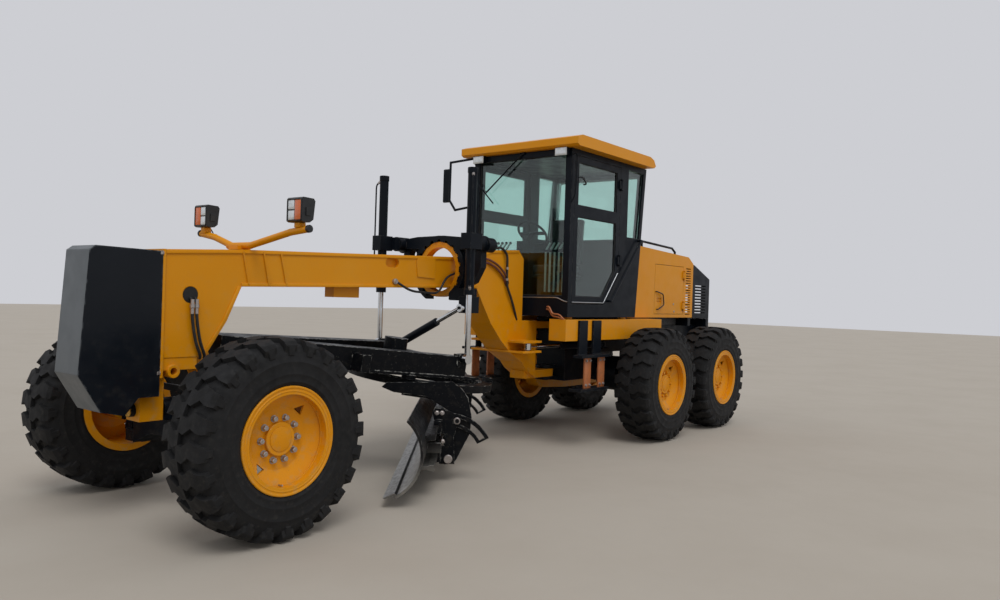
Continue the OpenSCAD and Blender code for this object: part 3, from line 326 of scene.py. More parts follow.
# Woven polyester seat cover, threads about 1.5 mm apart and drawn at 3 mm so that they show.
CLOTH = finish("seat_cloth", "#26272a", 0.9, gloss=(12, 0.84, 0.95), uniform={"Sheen Weight": 0.3},
               stains=[(3, 0.42, 0.62, 0.5, "#3d3e42", None)], grain=[(3.0, 0.6, EVEN)])
# Needle-felt headliner and foam-backed trim, pale grey.
LINING = finish("headliner_felt", "#a9aba8", 0.92, gloss=(20, 0.88, 0.96),
                stains=[(5, 0.45, 0.65, 0.35, "#8f918e", None)], grain=[(3.0, 0.5, EVEN)])
# Rubber seal round the panes.
SEAL = finish("pane_seal", "#121213", 0.62, gloss=(20, 0.55, 0.7),
              stains=[(40, 0.5, 0.7, 0.3, "#2c2b2a", None)], grain=[(1.5, 0.05, EVEN)])
# Aluminium trim strip, brushed.
TRIM = finish("brushed_aluminium", "#c3c6c8", 0.3, 0.95, gloss=(8, 0.24, 0.38),
              stains=[(40, 0.5, 0.72, 0.3, "#8f9294", None)], grain=[(4.0, 0.03, BRUSHED)])

NODE_FINISH = {
    "tyre": RUBBER, "rim": YELLOW, "hood": YELLOW, "front_frame": YELLOW, "side_boxes": YELLOW,
    "engine_door": YELLOW, "lamp_bar": YELLOW, "tandem_cases": YELLOW, "cab_roof": YELLOW,
    "cab_glass": GLASS, "door_glass": GLASS, "mouldboard": BLADE_STEEL, "cutting_edge": EDGE_STEEL,
    "lift_rods": CHROME, "shift_rod": CHROME, "side_shift_rod": CHROME, "bend_rod": CHROME,
    "engine": IRON, "hoses": HOSE, "cab_seat": CLOTH, "lamps": ABS, "drawbar": WORN_BLACK,
    "blade_circle": WORN_BLACK, "blade_carrier": WORN_BLACK, "nose_cover": NOSE_ENAMEL_AND_PAINTED_SHEEN,
}


def finish_of(node):
    """The finish whose key starts the node's name, the longest first, or black enamel."""
    keys = [key for key in NODE_FINISH if node.startswith(key)]
    return NODE_FINISH[max(keys, key=len)] if keys else BLACK


for name, node in NODES.items():
    for part in node.material_slots:
        part.material = finish_of(name)


# Making pieces

# The share of a side that an eased corner may take, so that two corners never meet
EASE_SHARE = 0.48
# Edges that turn by more than this many radians are rounded
SHARP_EDGE = 0.6
# A hexagon's width across its flats in millimetres, divided by this, is its radius in metres
FLATS_TO_RADIUS = 1732
# A washer's radius as a share of the width across the flats
WASHER_SHARE = 0.68
# The heads' chamfer: its top radius and its depth as shares of the head's radius
CHAMFER_TOP, CHAMFER_DEPTH = 0.8, 0.12
WASHER_SIDES, HEAD_SIDES = 16, 6
# The corner angles, in degrees, up to which surfaces are smooth
PLATE_CORNER, ROD_CORNER, HEAD_CORNER, WHEEL_CORNER, PAD_CORNER = 32, 50, 25, 28, 60


def prism(form, ring, other):
    """A closed solid between two rings of points of equal count."""
    a = [form.verts.new(p) for p in ring]
    b = [form.verts.new(p) for p in other]
    form.faces.new(a)
    form.faces.new(b[::-1])
    for i in range(len(a)):
        form.faces.new((a[i - 1], a[i], b[i], b[i - 1]))


def side_plate(form, outline, y_low, y_high):
    """A plate of that outline in x and z, between two y."""
    prism(form, [at(x, y_low, z) for x, z in outline], [at(x, y_high, z) for x, z in outline])


def block(form, low, high):
    """A block between two corners."""
    outline = [(low[0], low[2]), (high[0], low[2]), (high[0], high[2]), (low[0], high[2])]
    side_plate(form, outline, low[1], high[1])


def turned(form, profile, centre, axis, sides=36):
    """A turned solid: profile holds (radius, distance along the axis) in millimetres.

    A profile that ends where it starts makes a ring; any other is capped at both ends.
    """
    axis = Vector(axis).normalized()
    side = axis.orthogonal().normalized()
    up = axis.cross(side)
    rings = []
    closed = profile[0] == profile[-1]
    for radius, along in profile[:-1] if closed else profile:
        spot = centre + axis * (along / 1000)
        turns = [2 * math.pi * i / sides for i in range(sides)] if radius else [0.0]
        rings.append([
            form.verts.new(spot + (side * math.cos(t) + up * math.sin(t)) * (radius / 1000)) for t in turns])
    for low, high in zip(rings, rings[1:] + (rings[:1] if closed else [])):
        for i in range(sides):
            j = (i + 1) % sides
            corners = list(dict.fromkeys((
                low[i % len(low)], low[j % len(low)], high[j % len(high)], high[i % len(high)])))
            if len(corners) > 2:
                form.faces.new(corners)
    for ring in () if closed else (rings[0], rings[-1]):
        if len(ring) > 1:
            form.faces.new(ring)


def eased(points, radius_mm, steps=5):
    """The path with each corner replaced by a curve that starts up to radius_mm before it."""
    result = [points[0]]
    for before, corner, after in zip(points, points[1:], points[2:]):
        reach = [min(radius_mm / 1000, (p - corner).length * EASE_SHARE) for p in (before, after)]
        start = corner + (before - corner).normalized() * reach[0]
        end = corner + (after - corner).normalized() * reach[1]
        for i in range(steps + 1):
            t = i / steps
            result.append(start * (1 - t) ** 2 + corner * 2 * t * (1 - t) + end * t * t)
    return result + [points[-1]]


def keep(name, body, mesh, finishes, corner):
    """Makes the mesh an object that rides on body, smooth up to that corner angle."""
    mesh.name = name
    if finishes:
        mesh.materials.clear()
        for one in finishes:
            mesh.materials.append(one)
    mesh.polygons.foreach_set("use_smooth", [True] * len(mesh.polygons))
    mesh.set_sharp_from_angle(angle=math.radians(corner))
    made = placed(name, mesh)
    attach(made, body)
    return made


def piece(name, body, form, *finishes, edge_mm=0.0, corner=PLATE_CORNER):
    """Makes form a piece that rides on body, with its sharp edges rounded by edge_mm."""
    bmesh.ops.recalc_face_normals(form, faces=form.faces)
    if edge_mm:
        sharp = [e for e in form.edges if len(e.link_faces) == 2 and e.calc_face_angle() > SHARP_EDGE]
        bmesh.ops.bevel(form, geom=sharp, offset=edge_mm / 1000, segments=2, profile=0.5, affect="EDGES",
                        clamp_overlap=True)
    return keep(name, body, mesh_of(name, form), finishes, corner)


def new_tree(name, inputs):
    """An empty geometry tree with named inputs, and its two end nodes."""
    tree = bpy.data.node_groups.new(name, "GeometryNodeTree")
    tree.interface.new_socket("Geometry", in_out="INPUT", socket_type="NodeSocketGeometry")
    for label, (kind, value) in inputs.items():
        socket = tree.interface.new_socket(label, in_out="INPUT", socket_type=kind)
        if value is not None:
            socket.default_value = value
    tree.interface.new_socket("Geometry", in_out="OUTPUT", socket_type="NodeSocketGeometry")
    return tree, add(tree, "NodeGroupInput").outputs, add(tree, "NodeGroupOutput")


def close_tree(tree, made, start, end):
    """Ends a tree: real geometry with its finish."""
    real = add(tree, "GeometryNodeRealizeInstances", {"Geometry": made})
    done = add(tree, "GeometryNodeSetMaterial", {"Geometry": real.outputs[0], "Material": start["Finish"]})
    tree.links.new(done.outputs[0], end.inputs[0])
    return tree


def path_tree():
    """A round bar, pipe or hose along each line of the geometry."""
    tree, start, end = new_tree("along_a_path", {
        "Radius": ("NodeSocketFloat", 0.01), "Sides": ("NodeSocketInt", 12), "Finish": ("NodeSocketMaterial", None)})
    line = add(tree, "GeometryNodeMeshToCurve", {"Mesh": start["Geometry"]})
    ring = add(tree, "GeometryNodeCurvePrimitiveCircle", {"Resolution": start["Sides"], "Radius": start["Radius"]})
    skin = add(tree, "GeometryNodeCurveToMesh", {
        "Curve": line.outputs[0], "Profile Curve": ring.outputs[0], "Fill Caps": True})
    return close_tree(tree, skin.outputs[0], start, end)


def bolt_tree():
    """A chamfered hexagon head on a washer, on every point and along its facing."""
    tree, start, end = new_tree("hexagon_heads", {
        "Head Radius": ("NodeSocketFloat", 0.02), "Head Height": ("NodeSocketFloat", 0.014),
        "Washer Radius": ("NodeSocketFloat", 0.024), "Washer Height": ("NodeSocketFloat", 0.003),
        "Finish": ("NodeSocketMaterial", None)})
    washer = add(tree, "GeometryNodeMeshCone", {
        "Vertices": WASHER_SIDES, "Radius Top": start["Washer Radius"], "Radius Bottom": start["Washer Radius"],
        "Depth": start["Washer Height"]})
    head = add(tree, "GeometryNodeMeshCone", {
        "Vertices": HEAD_SIDES, "Radius Top": start["Head Radius"], "Radius Bottom": start["Head Radius"],
        "Depth": start["Head Height"]})
    slope = add(tree, "ShaderNodeMath", {0: start["Head Radius"], 1: CHAMFER_TOP}, operation="MULTIPLY")
    cap_depth = add(tree, "ShaderNodeMath", {0: start["Head Radius"], 1: CHAMFER_DEPTH}, operation="MULTIPLY")
    cap = add(tree, "GeometryNodeMeshCone", {
        "Vertices": HEAD_SIDES, "Radius Top": slope.outputs[0], "Radius Bottom": start["Head Radius"],
        "Depth": cap_depth.outputs[0]})
    head_top = add(tree, "ShaderNodeMath", {0: start["Washer Height"], 1: start["Head Height"]}, operation="ADD")
    whole = add(tree, "GeometryNodeJoinGeometry", {"Geometry": washer.outputs["Mesh"]})
    for part, below in ((head, start["Washer Height"]), (cap, head_top.outputs[0])):
        offset = add(tree, "ShaderNodeCombineXYZ", {"Z": below})
        lifted = add(tree, "GeometryNodeTransform", {
            "Geometry": part.outputs["Mesh"], "Translation": offset.outputs[0]})
        tree.links.new(lifted.outputs[0], whole.inputs["Geometry"])
    facing = add(tree, "GeometryNodeInputNamedAttribute", {"Name": "facing"}, data_type="FLOAT_VECTOR")
    turn = add(tree, "FunctionNodeAlignRotationToVector", {"Vector": facing.outputs[0]}, axis="Z")
    spread = add(tree, "GeometryNodeInstanceOnPoints", {
        "Points": start["Geometry"], "Instance": whole.outputs[0], "Rotation": turn.outputs[0]})
    return close_tree(tree, spread.outputs[0], start, end)


def grown(name, body, mesh, tree, sizes, corner=PLATE_CORNER):
    """The plain mesh that a tree makes of mesh, as a piece that rides on body."""
    seed = placed(name + "_seed", mesh)
    modifier = seed.modifiers.new("grow", "NODES")
    modifier.node_group = tree
    for item in tree.interface.items_tree:
        if item.in_out == "INPUT" and item.name in sizes:
            modifier[item.identifier] = sizes[item.name]
    made = plain_mesh(seed)
    bpy.data.objects.remove(seed)
    return keep(name, body, made, (), corner)


FOLLOW, HEADS = path_tree(), bolt_tree()


def rods(name, body, paths, radius_mm, look, ease_mm=60, sides=12):
    """Round bars, pipes or hoses of one size along paths of points."""
    points, edges = [], []
    for path in paths:
        smooth = eased([Vector(p) for p in path], ease_mm)
        edges += [(len(points) + i, len(points) + i + 1) for i in range(len(smooth) - 1)]
        points += smooth
    mesh = bpy.data.meshes.new(name)
    mesh.from_pydata(points, edges, [])
    return grown(name, body, mesh, FOLLOW, {"Radius": radius_mm / 1000, "Sides": sides, "Finish": look}, ROD_CORNER)


def bolts(name, body, spots, across_mm, height_mm, look, washer_mm=0.0, washer_t=3.0):
    """Hexagon heads of one size: spots holds (point, facing)."""
    mesh = bpy.data.meshes.new(name)
    mesh.from_pydata([p for p, _ in spots], [], [])
    facing = mesh.attributes.new("facing", "FLOAT_VECTOR", "POINT")
    facing.data.foreach_set("vector", [c for _, n in spots for c in Vector(n).normalized()])
    return grown(name, body, mesh, HEADS, {
        "Head Radius": across_mm / FLATS_TO_RADIUS, "Head Height": height_mm / 1000,
        "Washer Radius": (washer_mm or across_mm * WASHER_SHARE) / 1000, "Washer Height": washer_t / 1000,
        "Finish": look}, HEAD_CORNER)


# Wheels

LUGS = 24
# What a lug's root is wider than its tip, on each side
LUG_DRAFT = 7
# Rounded crown and side wall of the casing, with fine moulded rings: radius, distance from the middle plane
CASING = [(352, 120), (354, 198), (364, 208), (378, 213), (384, 218), (392, 218), (398, 216), (430, 220), (434, 222),
          (438, 222), (442, 220.5), (480, 221.5), (508, 221), (512, 222.5), (516, 222.5), (520, 220), (552, 215),
          (582, 207), (608, 192), (625, 168), (634, 120), (638, 60), (639, 0)]
# One lug from the middle outwards: shift along the tread, half width, tip (radius, across), root (radius, across)
LUG = [(14, 50, (669, -10), (622, -10)), (30, 49, (668.5, 52), (622, 52)), (-16, 51, (666, 118), (616, 118)),
       (6, 52, (660, 172), (600, 172)), (10, 51, (650, 200), (585, 196)), (10, 47, (625, 220), (575, 205)),
       (10, 24, (612, 222), (570, 206)), (10, 22, (560, 221), (552, 212))]
# Profiles on the rim: the lock ring on its lip, the bead inside it, the hub's cover
LOCK_RING = [(318, 208), (320, 214), (328, 215), (332, 211.5), (340, 211.5), (344, 216), (354, 217), (359, 213),
             (359, 200), (318, 200), (318, 208)]
RIM_BEAD = [(303, 150), (297, 152), (297, 160), (303, 163), (303, 150)]
HUB_COVER = [(0.0, 119.0), (84, 119.0), (84, 121.5), (80, 123), (0.0, 123)]
# The wheel nuts' ring: distance from the middle plane and radius, in metres
NUTS = 10
NUTS_OUT, NUTS_RADIUS = 0.095, 0.143
# The valve's two ends, as metres outwards, forward and up from the hub
VALVE_ENDS = ((0.15, 0.03, -0.292), (0.19, 0.03, -0.288))


def wheel(row, side):
    """The wheel's name and its hub's place."""
    return f"{row}_{HANDS[side]}", at(WHEELS[row], side * TRACK_Y, HUB_Z)


def tyre(row, side):
    """Off-road tyre: round casing with two rows of staggered wavy lugs that step down over the shoulders."""
    form = bmesh.new()
    name, hub = wheel(row, side)
    half = CASING + [(r, -y) for r, y in CASING[-2::-1]]
    turned(form, half + half[:1], hub, (0, 1, 0), sides=96)
    for hand in (1, -1):
        for i in range(LUGS):
            start = 2 * math.pi * (i + (0.5 if hand < 0 else 0.0)) / LUGS
            rows = []
            for shift, wide, tip, root in LUG:
                ring = []
                foot = wide + LUG_DRAFT
                for (radius, across), spread in ((root, foot), (tip, wide), (tip, -wide), (root, -foot)):
                    t = start + (shift + spread) / HUB_Z
                    ring.append(form.verts.new(hub + Vector((
                        math.sin(t) * radius, hand * across, math.cos(t) * radius)) / 1000))
                rows.append(ring)
            form.faces.new(rows[0])
            form.faces.new(rows[-1][::-1])
            for low, high in zip(rows, rows[1:]):
                for k in range(4):
                    form.faces.new((low[k - 1], low[k], high[k], high[k - 1]))
    made = piece(f"tread_{name}", f"wheel_{name}", form, RUBBER, corner=WHEEL_CORNER)
    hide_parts(f"tyre_{name}")


def wheel_parts(row, side):
    """Wheel nuts, the lock ring on the rim's lip, the bead inside the rim, the hub's cover and the valve."""
    name, hub = wheel(row, side)
    body = f"wheel_{name}"
    out = Vector((0, side, 0))
    turns = [2 * math.pi * i / NUTS for i in range(NUTS)]
    spots = [(hub + out * NUTS_OUT + Vector((math.cos(t), 0, math.sin(t))) * NUTS_RADIUS, out) for t in turns]
    nuts = bolts(f"wheel_nuts_{name}", body, spots, 33, 25, ZINC if row == "front" else YELLOW, 24, 4)
    form = bmesh.new()
    turned(form, LOCK_RING, hub, out, sides=72)
    turned(form, RIM_BEAD, hub, out, sides=72)
    ring = piece(f"lock_ring_{name}", body, form, YELLOW, corner=WHEEL_CORNER)
    form = bmesh.new()
    turned(form, HUB_COVER, hub, out, sides=48)
    cap = piece(f"hub_cover_{name}", body, form, YELLOW, corner=WHEEL_CORNER)
    valve = [hub + out * outwards + Vector((forward, 0, up)) for outwards, forward, up in VALVE_ENDS]
    rods(f"valve_{name}", body, [valve], 6, ZINC, 5, 8)


for row in WHEELS:
    for side in HANDS:
        tyre(row, side)
        wheel_parts(row, side)


# Front frame: flange edges, pin face, lamps, hoses and lift cylinders

def strip(form, line, drop, y_in, y_out):
    """A flat bar under a line of x and z, drop millimetres high, or over it where drop is negative."""
    side_plate(form, line + [(x, z - drop) for x, z in line[::-1]], y_in, y_out)


# The beam's edges in x and z, and the y between which their flanges stand
TOP_EDGE = [(278, 1909), (-330, 1946), (-2770, 2034), (-3120, 2045), (-3366, 2140), (-3858, 2172)]
LOW_EDGE = [(-340, 1663), (-3145, 1733)]
FRONT_EDGE = [(-60, 1158), (-220, 1400), (-340, 1663)]
FLANGE_Y = (153, 164)
form = bmesh.new()
for side in HANDS:
    inner, outer = (side * y for y in FLANGE_Y)
    strip(form, TOP_EDGE, 30, inner, outer)
    strip(form, LOW_EDGE, -28, inner, outer)
    side_plate(form, FRONT_EDGE + [(x + 32, z) for x, z in FRONT_EDGE[::-1]], inner, outer)
piece("beam_flanges", "front_frame", form, YELLOW, edge_mm=2)

form = bmesh.new()
turned(form, [(43, -3), (43, 5), (40, 7), (30, 7), (28, 4), (12, 4), (10, 8), (0, 8)], at(435, 0, 765), (1, 0, 0))
piece("hang_pin_face", "front_frame", form, BRASS)

# Head lamps: the plane of their fronts, each one's y with the side its marker is on, and the bezel in y and z
LAMP_X = -366
LAMPS = ((745, 1), (-480, -1))
BEZEL = [(-80, 2153), (80, 2153), (80, 2308), (-80, 2308), (-80, 2153)]
lenses, ambers, bezels, cables = bmesh.new(), bmesh.new(), [], []
for y, out in LAMPS:
    for low, high in ((2158, 2227), (2234, 2303)):
        block(lenses, (LAMP_X - 9, y - out * 74, low), (LAMP_X + 2, y - out * 3, high))
    block(ambers, (LAMP_X - 9, y + out * 3, 2158), (LAMP_X + 2, y + out * 75, 2303))
    bezels.append([at(LAMP_X + 1, y + a, z) for a, z in BEZEL])
    cables.append([at(x, y - out * inwards, z) for x, inwards, z in (
        (-440, 0, 2150), (-470, 10, 2118), (-455, 70, 2062), (-436, 130, 2080))])
piece("lamp_lenses", "front_frame", lenses, CLEAR, edge_mm=5)
piece("lamp_markers", "front_frame", ambers, AMBER, edge_mm=5)
rods("lamp_bezels", "front_frame", bezels, 5, ABS, 14, 8)
rods("lamp_cables", "front_frame", cables, 5, HOSE, 40, 8)

form = bmesh.new()
for y, z in ((745, 2104), (-480, 2092)):
    block(form, (-450, y - 30, z), (-390, y + 30, 2141))
piece("lamp_feet", "front_frame", form, YELLOW, edge_mm=4)

form = bmesh.new()
for y, z, out in ((860, 2095, 1), (-560, 2095, -1)):
    turned(form, [(27.5, -22), (28.5, -20), (28.5, 0), (26, 3.5), (0, 4)], at(-420, y, z), (0, out, 0.09), 24)
piece("bar_end_caps", "front_frame", form, ABS)

# Hoses on the neck's left side, and their bundle's clamps
NECK_Y = 168
rods("neck_hoses_red", "front_frame", [
    [at(-3230, 152, 2035), at(-3278, NECK_Y + 8, 2049), at(-3459, NECK_Y + 16, 1992), at(-3611, NECK_Y + 14, 1886),
     at(-3690, 150, 1800)],
    [at(-3250, 152, 2000), at(-3300, NECK_Y + 6, 2008), at(-3450, NECK_Y + 12, 1955), at(-3585, NECK_Y + 12, 1850),
     at(-3650, 150, 1770)]], 12, RED_HOSE, 80)
rods("neck_hoses_black", "front_frame", [
    [at(-3480, 120, 2168), at(-3521, NECK_Y + 5, 2185), at(-3618, NECK_Y + 18, 2114), at(-3617, NECK_Y + 18, 1772),
     at(-3698, NECK_Y + 14, 1659), at(-3761, NECK_Y + 12, 1544), at(-3860, 150, 1400)]], 13, HOSE, 70)
form = bmesh.new()
for half, z in ((14, 1960), (12, 1840)):
    turned(form, [(13, -half), (17, -half), (17, half), (13, half), (13, -half)], at(-3618, NECK_Y + 18, z),
           (0, 0, 1), 20)
piece("neck_hose_clamps", "front_frame", form, ZINC)

# Lift cylinders: gland, head, and the pipe up each barrel with a fitting at both ends
form, fittings, pipes = bmesh.new(), bmesh.new(), []
for side in HANDS:
    foot = at(-2510, side * 600, 1665)
    turned(form, [(40, -8), (49, -8), (51, -6), (51, 44), (46, 50), (44, 50)], foot, (0, 0, 1))
    turned(form, [(44, 1140), (49.5, 1144), (49.5, 1192), (46, 1196), (0, 1196)], foot, (0, 0, 1))
    pipe = [at(x, side * y, z) for x, y, z in (
        (-2478, 634, 2795), (-2452, 655, 2765), (-2452, 655, 1765), (-2474, 634, 1722))]
    pipes.append(pipe)
    for end, toward in ((pipe[0], pipe[1]), (pipe[3], pipe[2])):
        turned(fittings, [(0, -16), (14, -16), (14, 10), (11, 14), (11, 26), (0, 26)], end, toward - end, 12)
piece("lift_glands", "front_frame", form, BLACK)
piece("lift_pipe_fittings", "front_frame", fittings, ZINC)
rods("lift_pipes", "front_frame", pipes, 8, BLACK, 40, 10)

# Two hoses from the port behind the nose, and one along the beam to the neck
SUPPLY_X = (78, 42)
supply = [[at(x, 148, 1572), at(x, 182, 1552), at(x, 184, 1430), at(x - 32, 184, 1250), at(x - 78, 180, 1150),
           at(x - 92, 150, 1128)] for x in SUPPLY_X]
supply.append([at(-1960, 150, 1775), at(-1960, 178, 1760), at(-2120, 215, 1675), at(-2500, 215, 1660),
               at(-2640, 187, 1830), at(-2860, 182, 1898), at(-2880, 172, 1903)])
hoses = rods("supply_hoses", "front_frame", supply, 11, HOSE, 80)
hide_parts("hoses")
form = bmesh.new()
for x in SUPPLY_X:
    turned(form, [(0, -60), (14, -60), (14, -24), (18, -24), (18, 0), (13, 4), (13, 46), (0, 46)],
           at(x, 184, 1500), (0, 0, -1), 12)
for x, z in ((-1960, 1760), (-2880, 1903)):
    turned(form, [(26, -12), (26, 12), (18, 16), (18, 24), (0, 24)], at(x, 166, z), (0, 1, 0), 24)
piece("hose_fittings", "front_frame", form, ZINC)
form = bmesh.new()
turned(form, [(58, 0), (58, 2), (0, 2)], at(78, 154, 1592), (0, 1, 0), 40)
piece("hose_port", "front_frame", form, SEAL)

heads = [(at(x, side * y, z), (1, 0, 0)) for x, y, rows in ((301, 160, (1035, 1880)), (-2717, 505, (2212, 2118)))
         for side in HANDS for z in rows]
bolts("frame_bolts", "front_frame", heads, 30, 16, ZINC, 20)


# Drawbar and circle

CIRCLE_TEETH = 64
# The drawbar's ball, the pitch of the blade set about it and the direction of that pitch's axis
BALL_X, BALL_Z = -130, 1060
PITCH_DEG, PITCH_AXIS_DEG = -7, 40
# The ring's middle below the ball, in the untilted set
RING_DROP = 35


def teeth_tree():
    """Blunt gear teeth round the inside of a ring."""
    tree, start, end = new_tree("ring_teeth", {
        "Count": ("NodeSocketInt", CIRCLE_TEETH), "Ring Radius": ("NodeSocketFloat", 0.6),
        "Tooth Width": ("NodeSocketFloat", 0.03), "Tooth Depth": ("NodeSocketFloat", 0.03),
        "Tooth Height": ("NodeSocketFloat", 0.05), "Finish": ("NodeSocketMaterial", None)})
    ring = add(tree, "GeometryNodeMeshCircle", {"Vertices": start["Count"], "Radius": start["Ring Radius"]})
    size = add(tree, "ShaderNodeCombineXYZ", {
        "X": start["Tooth Depth"], "Y": start["Tooth Width"], "Z": start["Tooth Height"]})
    tooth = add(tree, "GeometryNodeMeshCube", {"Size": size.outputs[0]})
    place = add(tree, "GeometryNodeInputPosition")
    turn = add(tree, "FunctionNodeAlignRotationToVector", {"Vector": place.outputs[0]}, axis="X")
    spread = add(tree, "GeometryNodeInstanceOnPoints", {
        "Points": ring.outputs[0], "Instance": tooth.outputs[0], "Rotation": turn.outputs[0]})
    return close_tree(tree, spread.outputs[0], start, end)


pitch_axis = Vector((math.cos(math.radians(PITCH_AXIS_DEG)), math.sin(math.radians(PITCH_AXIS_DEG)), 0))
tilt = Matrix.Translation(at(BALL_X, 0, BALL_Z)) @ Matrix.Rotation(math.radians(PITCH_DEG), 4, pitch_axis)
teeth = grown("circle_teeth", "blade_circle", bpy.data.meshes.new("circle_teeth"), teeth_tree(), {
    "Count": CIRCLE_TEETH, "Ring Radius": 0.602, "Tooth Width": 0.03, "Tooth Depth": 0.032,
    "Tooth Height": 0.05, "Finish": WORN_BLACK})
teeth.data.transform(tilt @ Matrix.Translation(Vector((CIRCLE_X - BALL_X, 0, -RING_DROP)) / 1000))

# The carrier's pins: place along, across and up, and radius
PINS = ((-315, 926, 210, 38), (-383, 898, 543, 30))
form = bmesh.new()
pins = []
for side in HANDS:
    for x, y, z, r in PINS:
        centre = at_circle(x, side * y, z)
        out = at_circle(x, side * 1000, z) - at_circle(x, 0, z)
        turned(form, [(r, -6), (r, 8), (r - 4, 12), (r * 0.5, 12), (r * 0.45, 9), (0, 9)], centre, out, 28)
    out = at_circle(0, side * 1000, 0) - at_circle(0, 0, 0)
    pins += [(at_circle(x, side * 896, z), out) for x, z in ((-262, 360), (-205, 610), (-250, 610))]
piece("carrier_pin_heads", "blade_carrier", form, ZINC)
bolts("carrier_bolts", "blade_carrier", pins, 30, 16, ZINC, 21)


# Cab

def loop(points):
    """The points as a closed path that starts in the middle of its first side."""
    middle = (Vector(points[0]) + Vector(points[1])) / 2
    return [middle] + list(points[1:]) + [points[0], middle]


# Outlines of the door's panes in x and z, and the y of the glass
PANE_Y = 673
DOOR_PANES = ([(-4210, 2690), (-4210, 3160), (-5045, 3160), (-5045, 2690)],
              [(-4210, 1680), (-4210, 2560), (-5045, 2560), (-5045, 1990), (-4785, 1680)])
for side, hand in HANDS.items():
    door = f"cab_door_{hand}"
    paths = [loop([at(x, side * PANE_Y, z) for x, z in pane]) for pane in DOOR_PANES]
    rods(f"door_seals_{hand}", door, paths, 8, SEAL, 30, 8)
    rods(f"door_trim_{hand}", door, [
        [at(x, side * 692, z) for x, z in ((-4140, 1616), (-4802, 1616), (-5108, 1972))]], 6, TRIM, 20, 8)
    rods(f"door_handle_{hand}", door, [
        [at(x, side * y, z) for x, y, z in (
            (-4306, 688, 2927), (-4306, 728, 2927), (-4227, 728, 2997), (-4227, 688, 2997))]],
        9, ABS, 25)
    hood_door = f"engine_door_{hand}"
    rods(f"hood_handle_{hand}", hood_door, [
        [at(x, side * y, z) for x, y, z in (
            (-6430, 515, 1787), (-6430, 546, 1787), (-6600, 546, 1755), (-6632, 546, 1612), (-6470, 546, 1550),
            (-6470, 515, 1550))]], 8, ABS, 30)
    form = bmesh.new()
    for x, z in ((-6964, 1626), (-6988, 1524)):
        turned(form, [(15, -3), (15, 3), (12, 5), (4, 5), (3.5, 3), (0, 3)], at(x, side * 520, z), (0, side, 0), 20)
    piece(f"hood_locks_{hand}", hood_door, form, ZINC)

# The cab's back wall: its place at the floor, the floor's height and the lean, then how far the pane stands behind it
REAR_FOOT, FLOOR_Z, REAR_SLOPE = 5570, 1450, 180 / 1850
REAR_PANE = 22
panes = [loop([at(-4084, y, z) for y, z in ((-610, 1680), (610, 1680), (610, 3230), (-610, 3230))]),
         loop([at(-(REAR_FOOT + (z - FLOOR_Z) * REAR_SLOPE) - REAR_PANE, y, z)
               for y, z in ((-600, 2420), (600, 2420), (600, 3200), (-600, 3200))])]
rods("cab_seals", "rear_frame", panes, 8, SEAL, 30, 8)

rods("cab_front_trim", "rear_frame", [
    [at(-4063, -640, 1640), at(-4063, 114, 1655), at(-4063, 549, 1662), at(-4063, 640, 1624), at(-4063, 684, 1618)]],
    6, TRIM, 30, 8)
rods("pillar_grab_tubes", "rear_frame", [
    [at(x, side * y, z) for x, y, z in (
        (-4072, 686, 3225), (-4078, 722, 3240), (-4112, 722, 3225), (-4116, 722, 2960), (-4092, 722, 2780),
        (-4072, 686, 2700))] for side in HANDS], 8, BLACK, 40, 10)

form = bmesh.new()
block(form, (-5640, -600, 3262), (-4125, 600, 3282))
piece("headliner", "rear_frame", form, LINING, edge_mm=9)
form = bmesh.new()
block(form, (-5420, -570, 1510.5), (-4260, 570, 1517))
piece("floor_mat", "rear_frame", form, SEAL, edge_mm=2)

# Each lever's stem and its bent grip
stems = []
for y in (290, 350, 410, 470, 530):
    for side in HANDS:
        stems += [[at(-4190, side * y, 1722), at(-4190, side * y, 2178)],
                  [at(-4192, side * y, 2190), at(-4270, side * y, 2279)]]
rods("lever_stems", "rear_frame", stems, 11, WHITE, 10, 12)

lenses, bezels = bmesh.new(), bmesh.new()
for y in (-585, 585):
    block(bezels, (-3994, y - 76, 3213), (-3986, y + 76, 3297))
    block(lenses, (-3990, y - 66, 3222), (-3982, y + 66, 3288))
piece("work_lamp_rims", "rear_frame", bezels, WHITE, edge_mm=3)
piece("work_lamp_lenses", "rear_frame", lenses, CLEAR, edge_mm=3)

STRAP_X = (-4610, -4320)
form = bmesh.new()
for side in HANDS:
    for x in STRAP_X:
        block(form, (x - 64, side * 793.5, 670), (x + 64, side * 813.5, 1009))
piece("step_straps", "rear_frame", form, PRIMER, edge_mm=2)
heads = [(at(x + a, side * 813, z), (0, side, 0)) for side in HANDS for x in STRAP_X
         for a in (-38, 38) for z in (705, 975)]
bolts("strap_bolts", "rear_frame", heads, 24, 12, ZINC, 17)

rods("valve_pipes", "rear_frame", [
    [at(-4062, 445, 1557), at(-4010, 445, 1557), at(-4000, 490, 1560), at(-3990, 540, 1483), at(-3990, 633, 1478),
     at(-3990, 677, 1440), at(-4010, 684, 1422)],
    [at(-4062, 440, 1530), at(-4015, 440, 1530), at(-4006, 484, 1532), at(-4000, 536, 1456), at(-4000, 600, 1452),
     at(-4004, 640, 1440), at(-4020, 646, 1422)]], 9, PRIMER, 30)


# Seat

# A pad's rounding and its even mesh, in metres, the pressure in it, how long it swells and how far at most
PAD_ROUND, PAD_VOXEL = 0.03, 0.014
PAD_PRESSURE, PAD_FRAMES, PAD_CROWN = 4.0, 14, 0.010


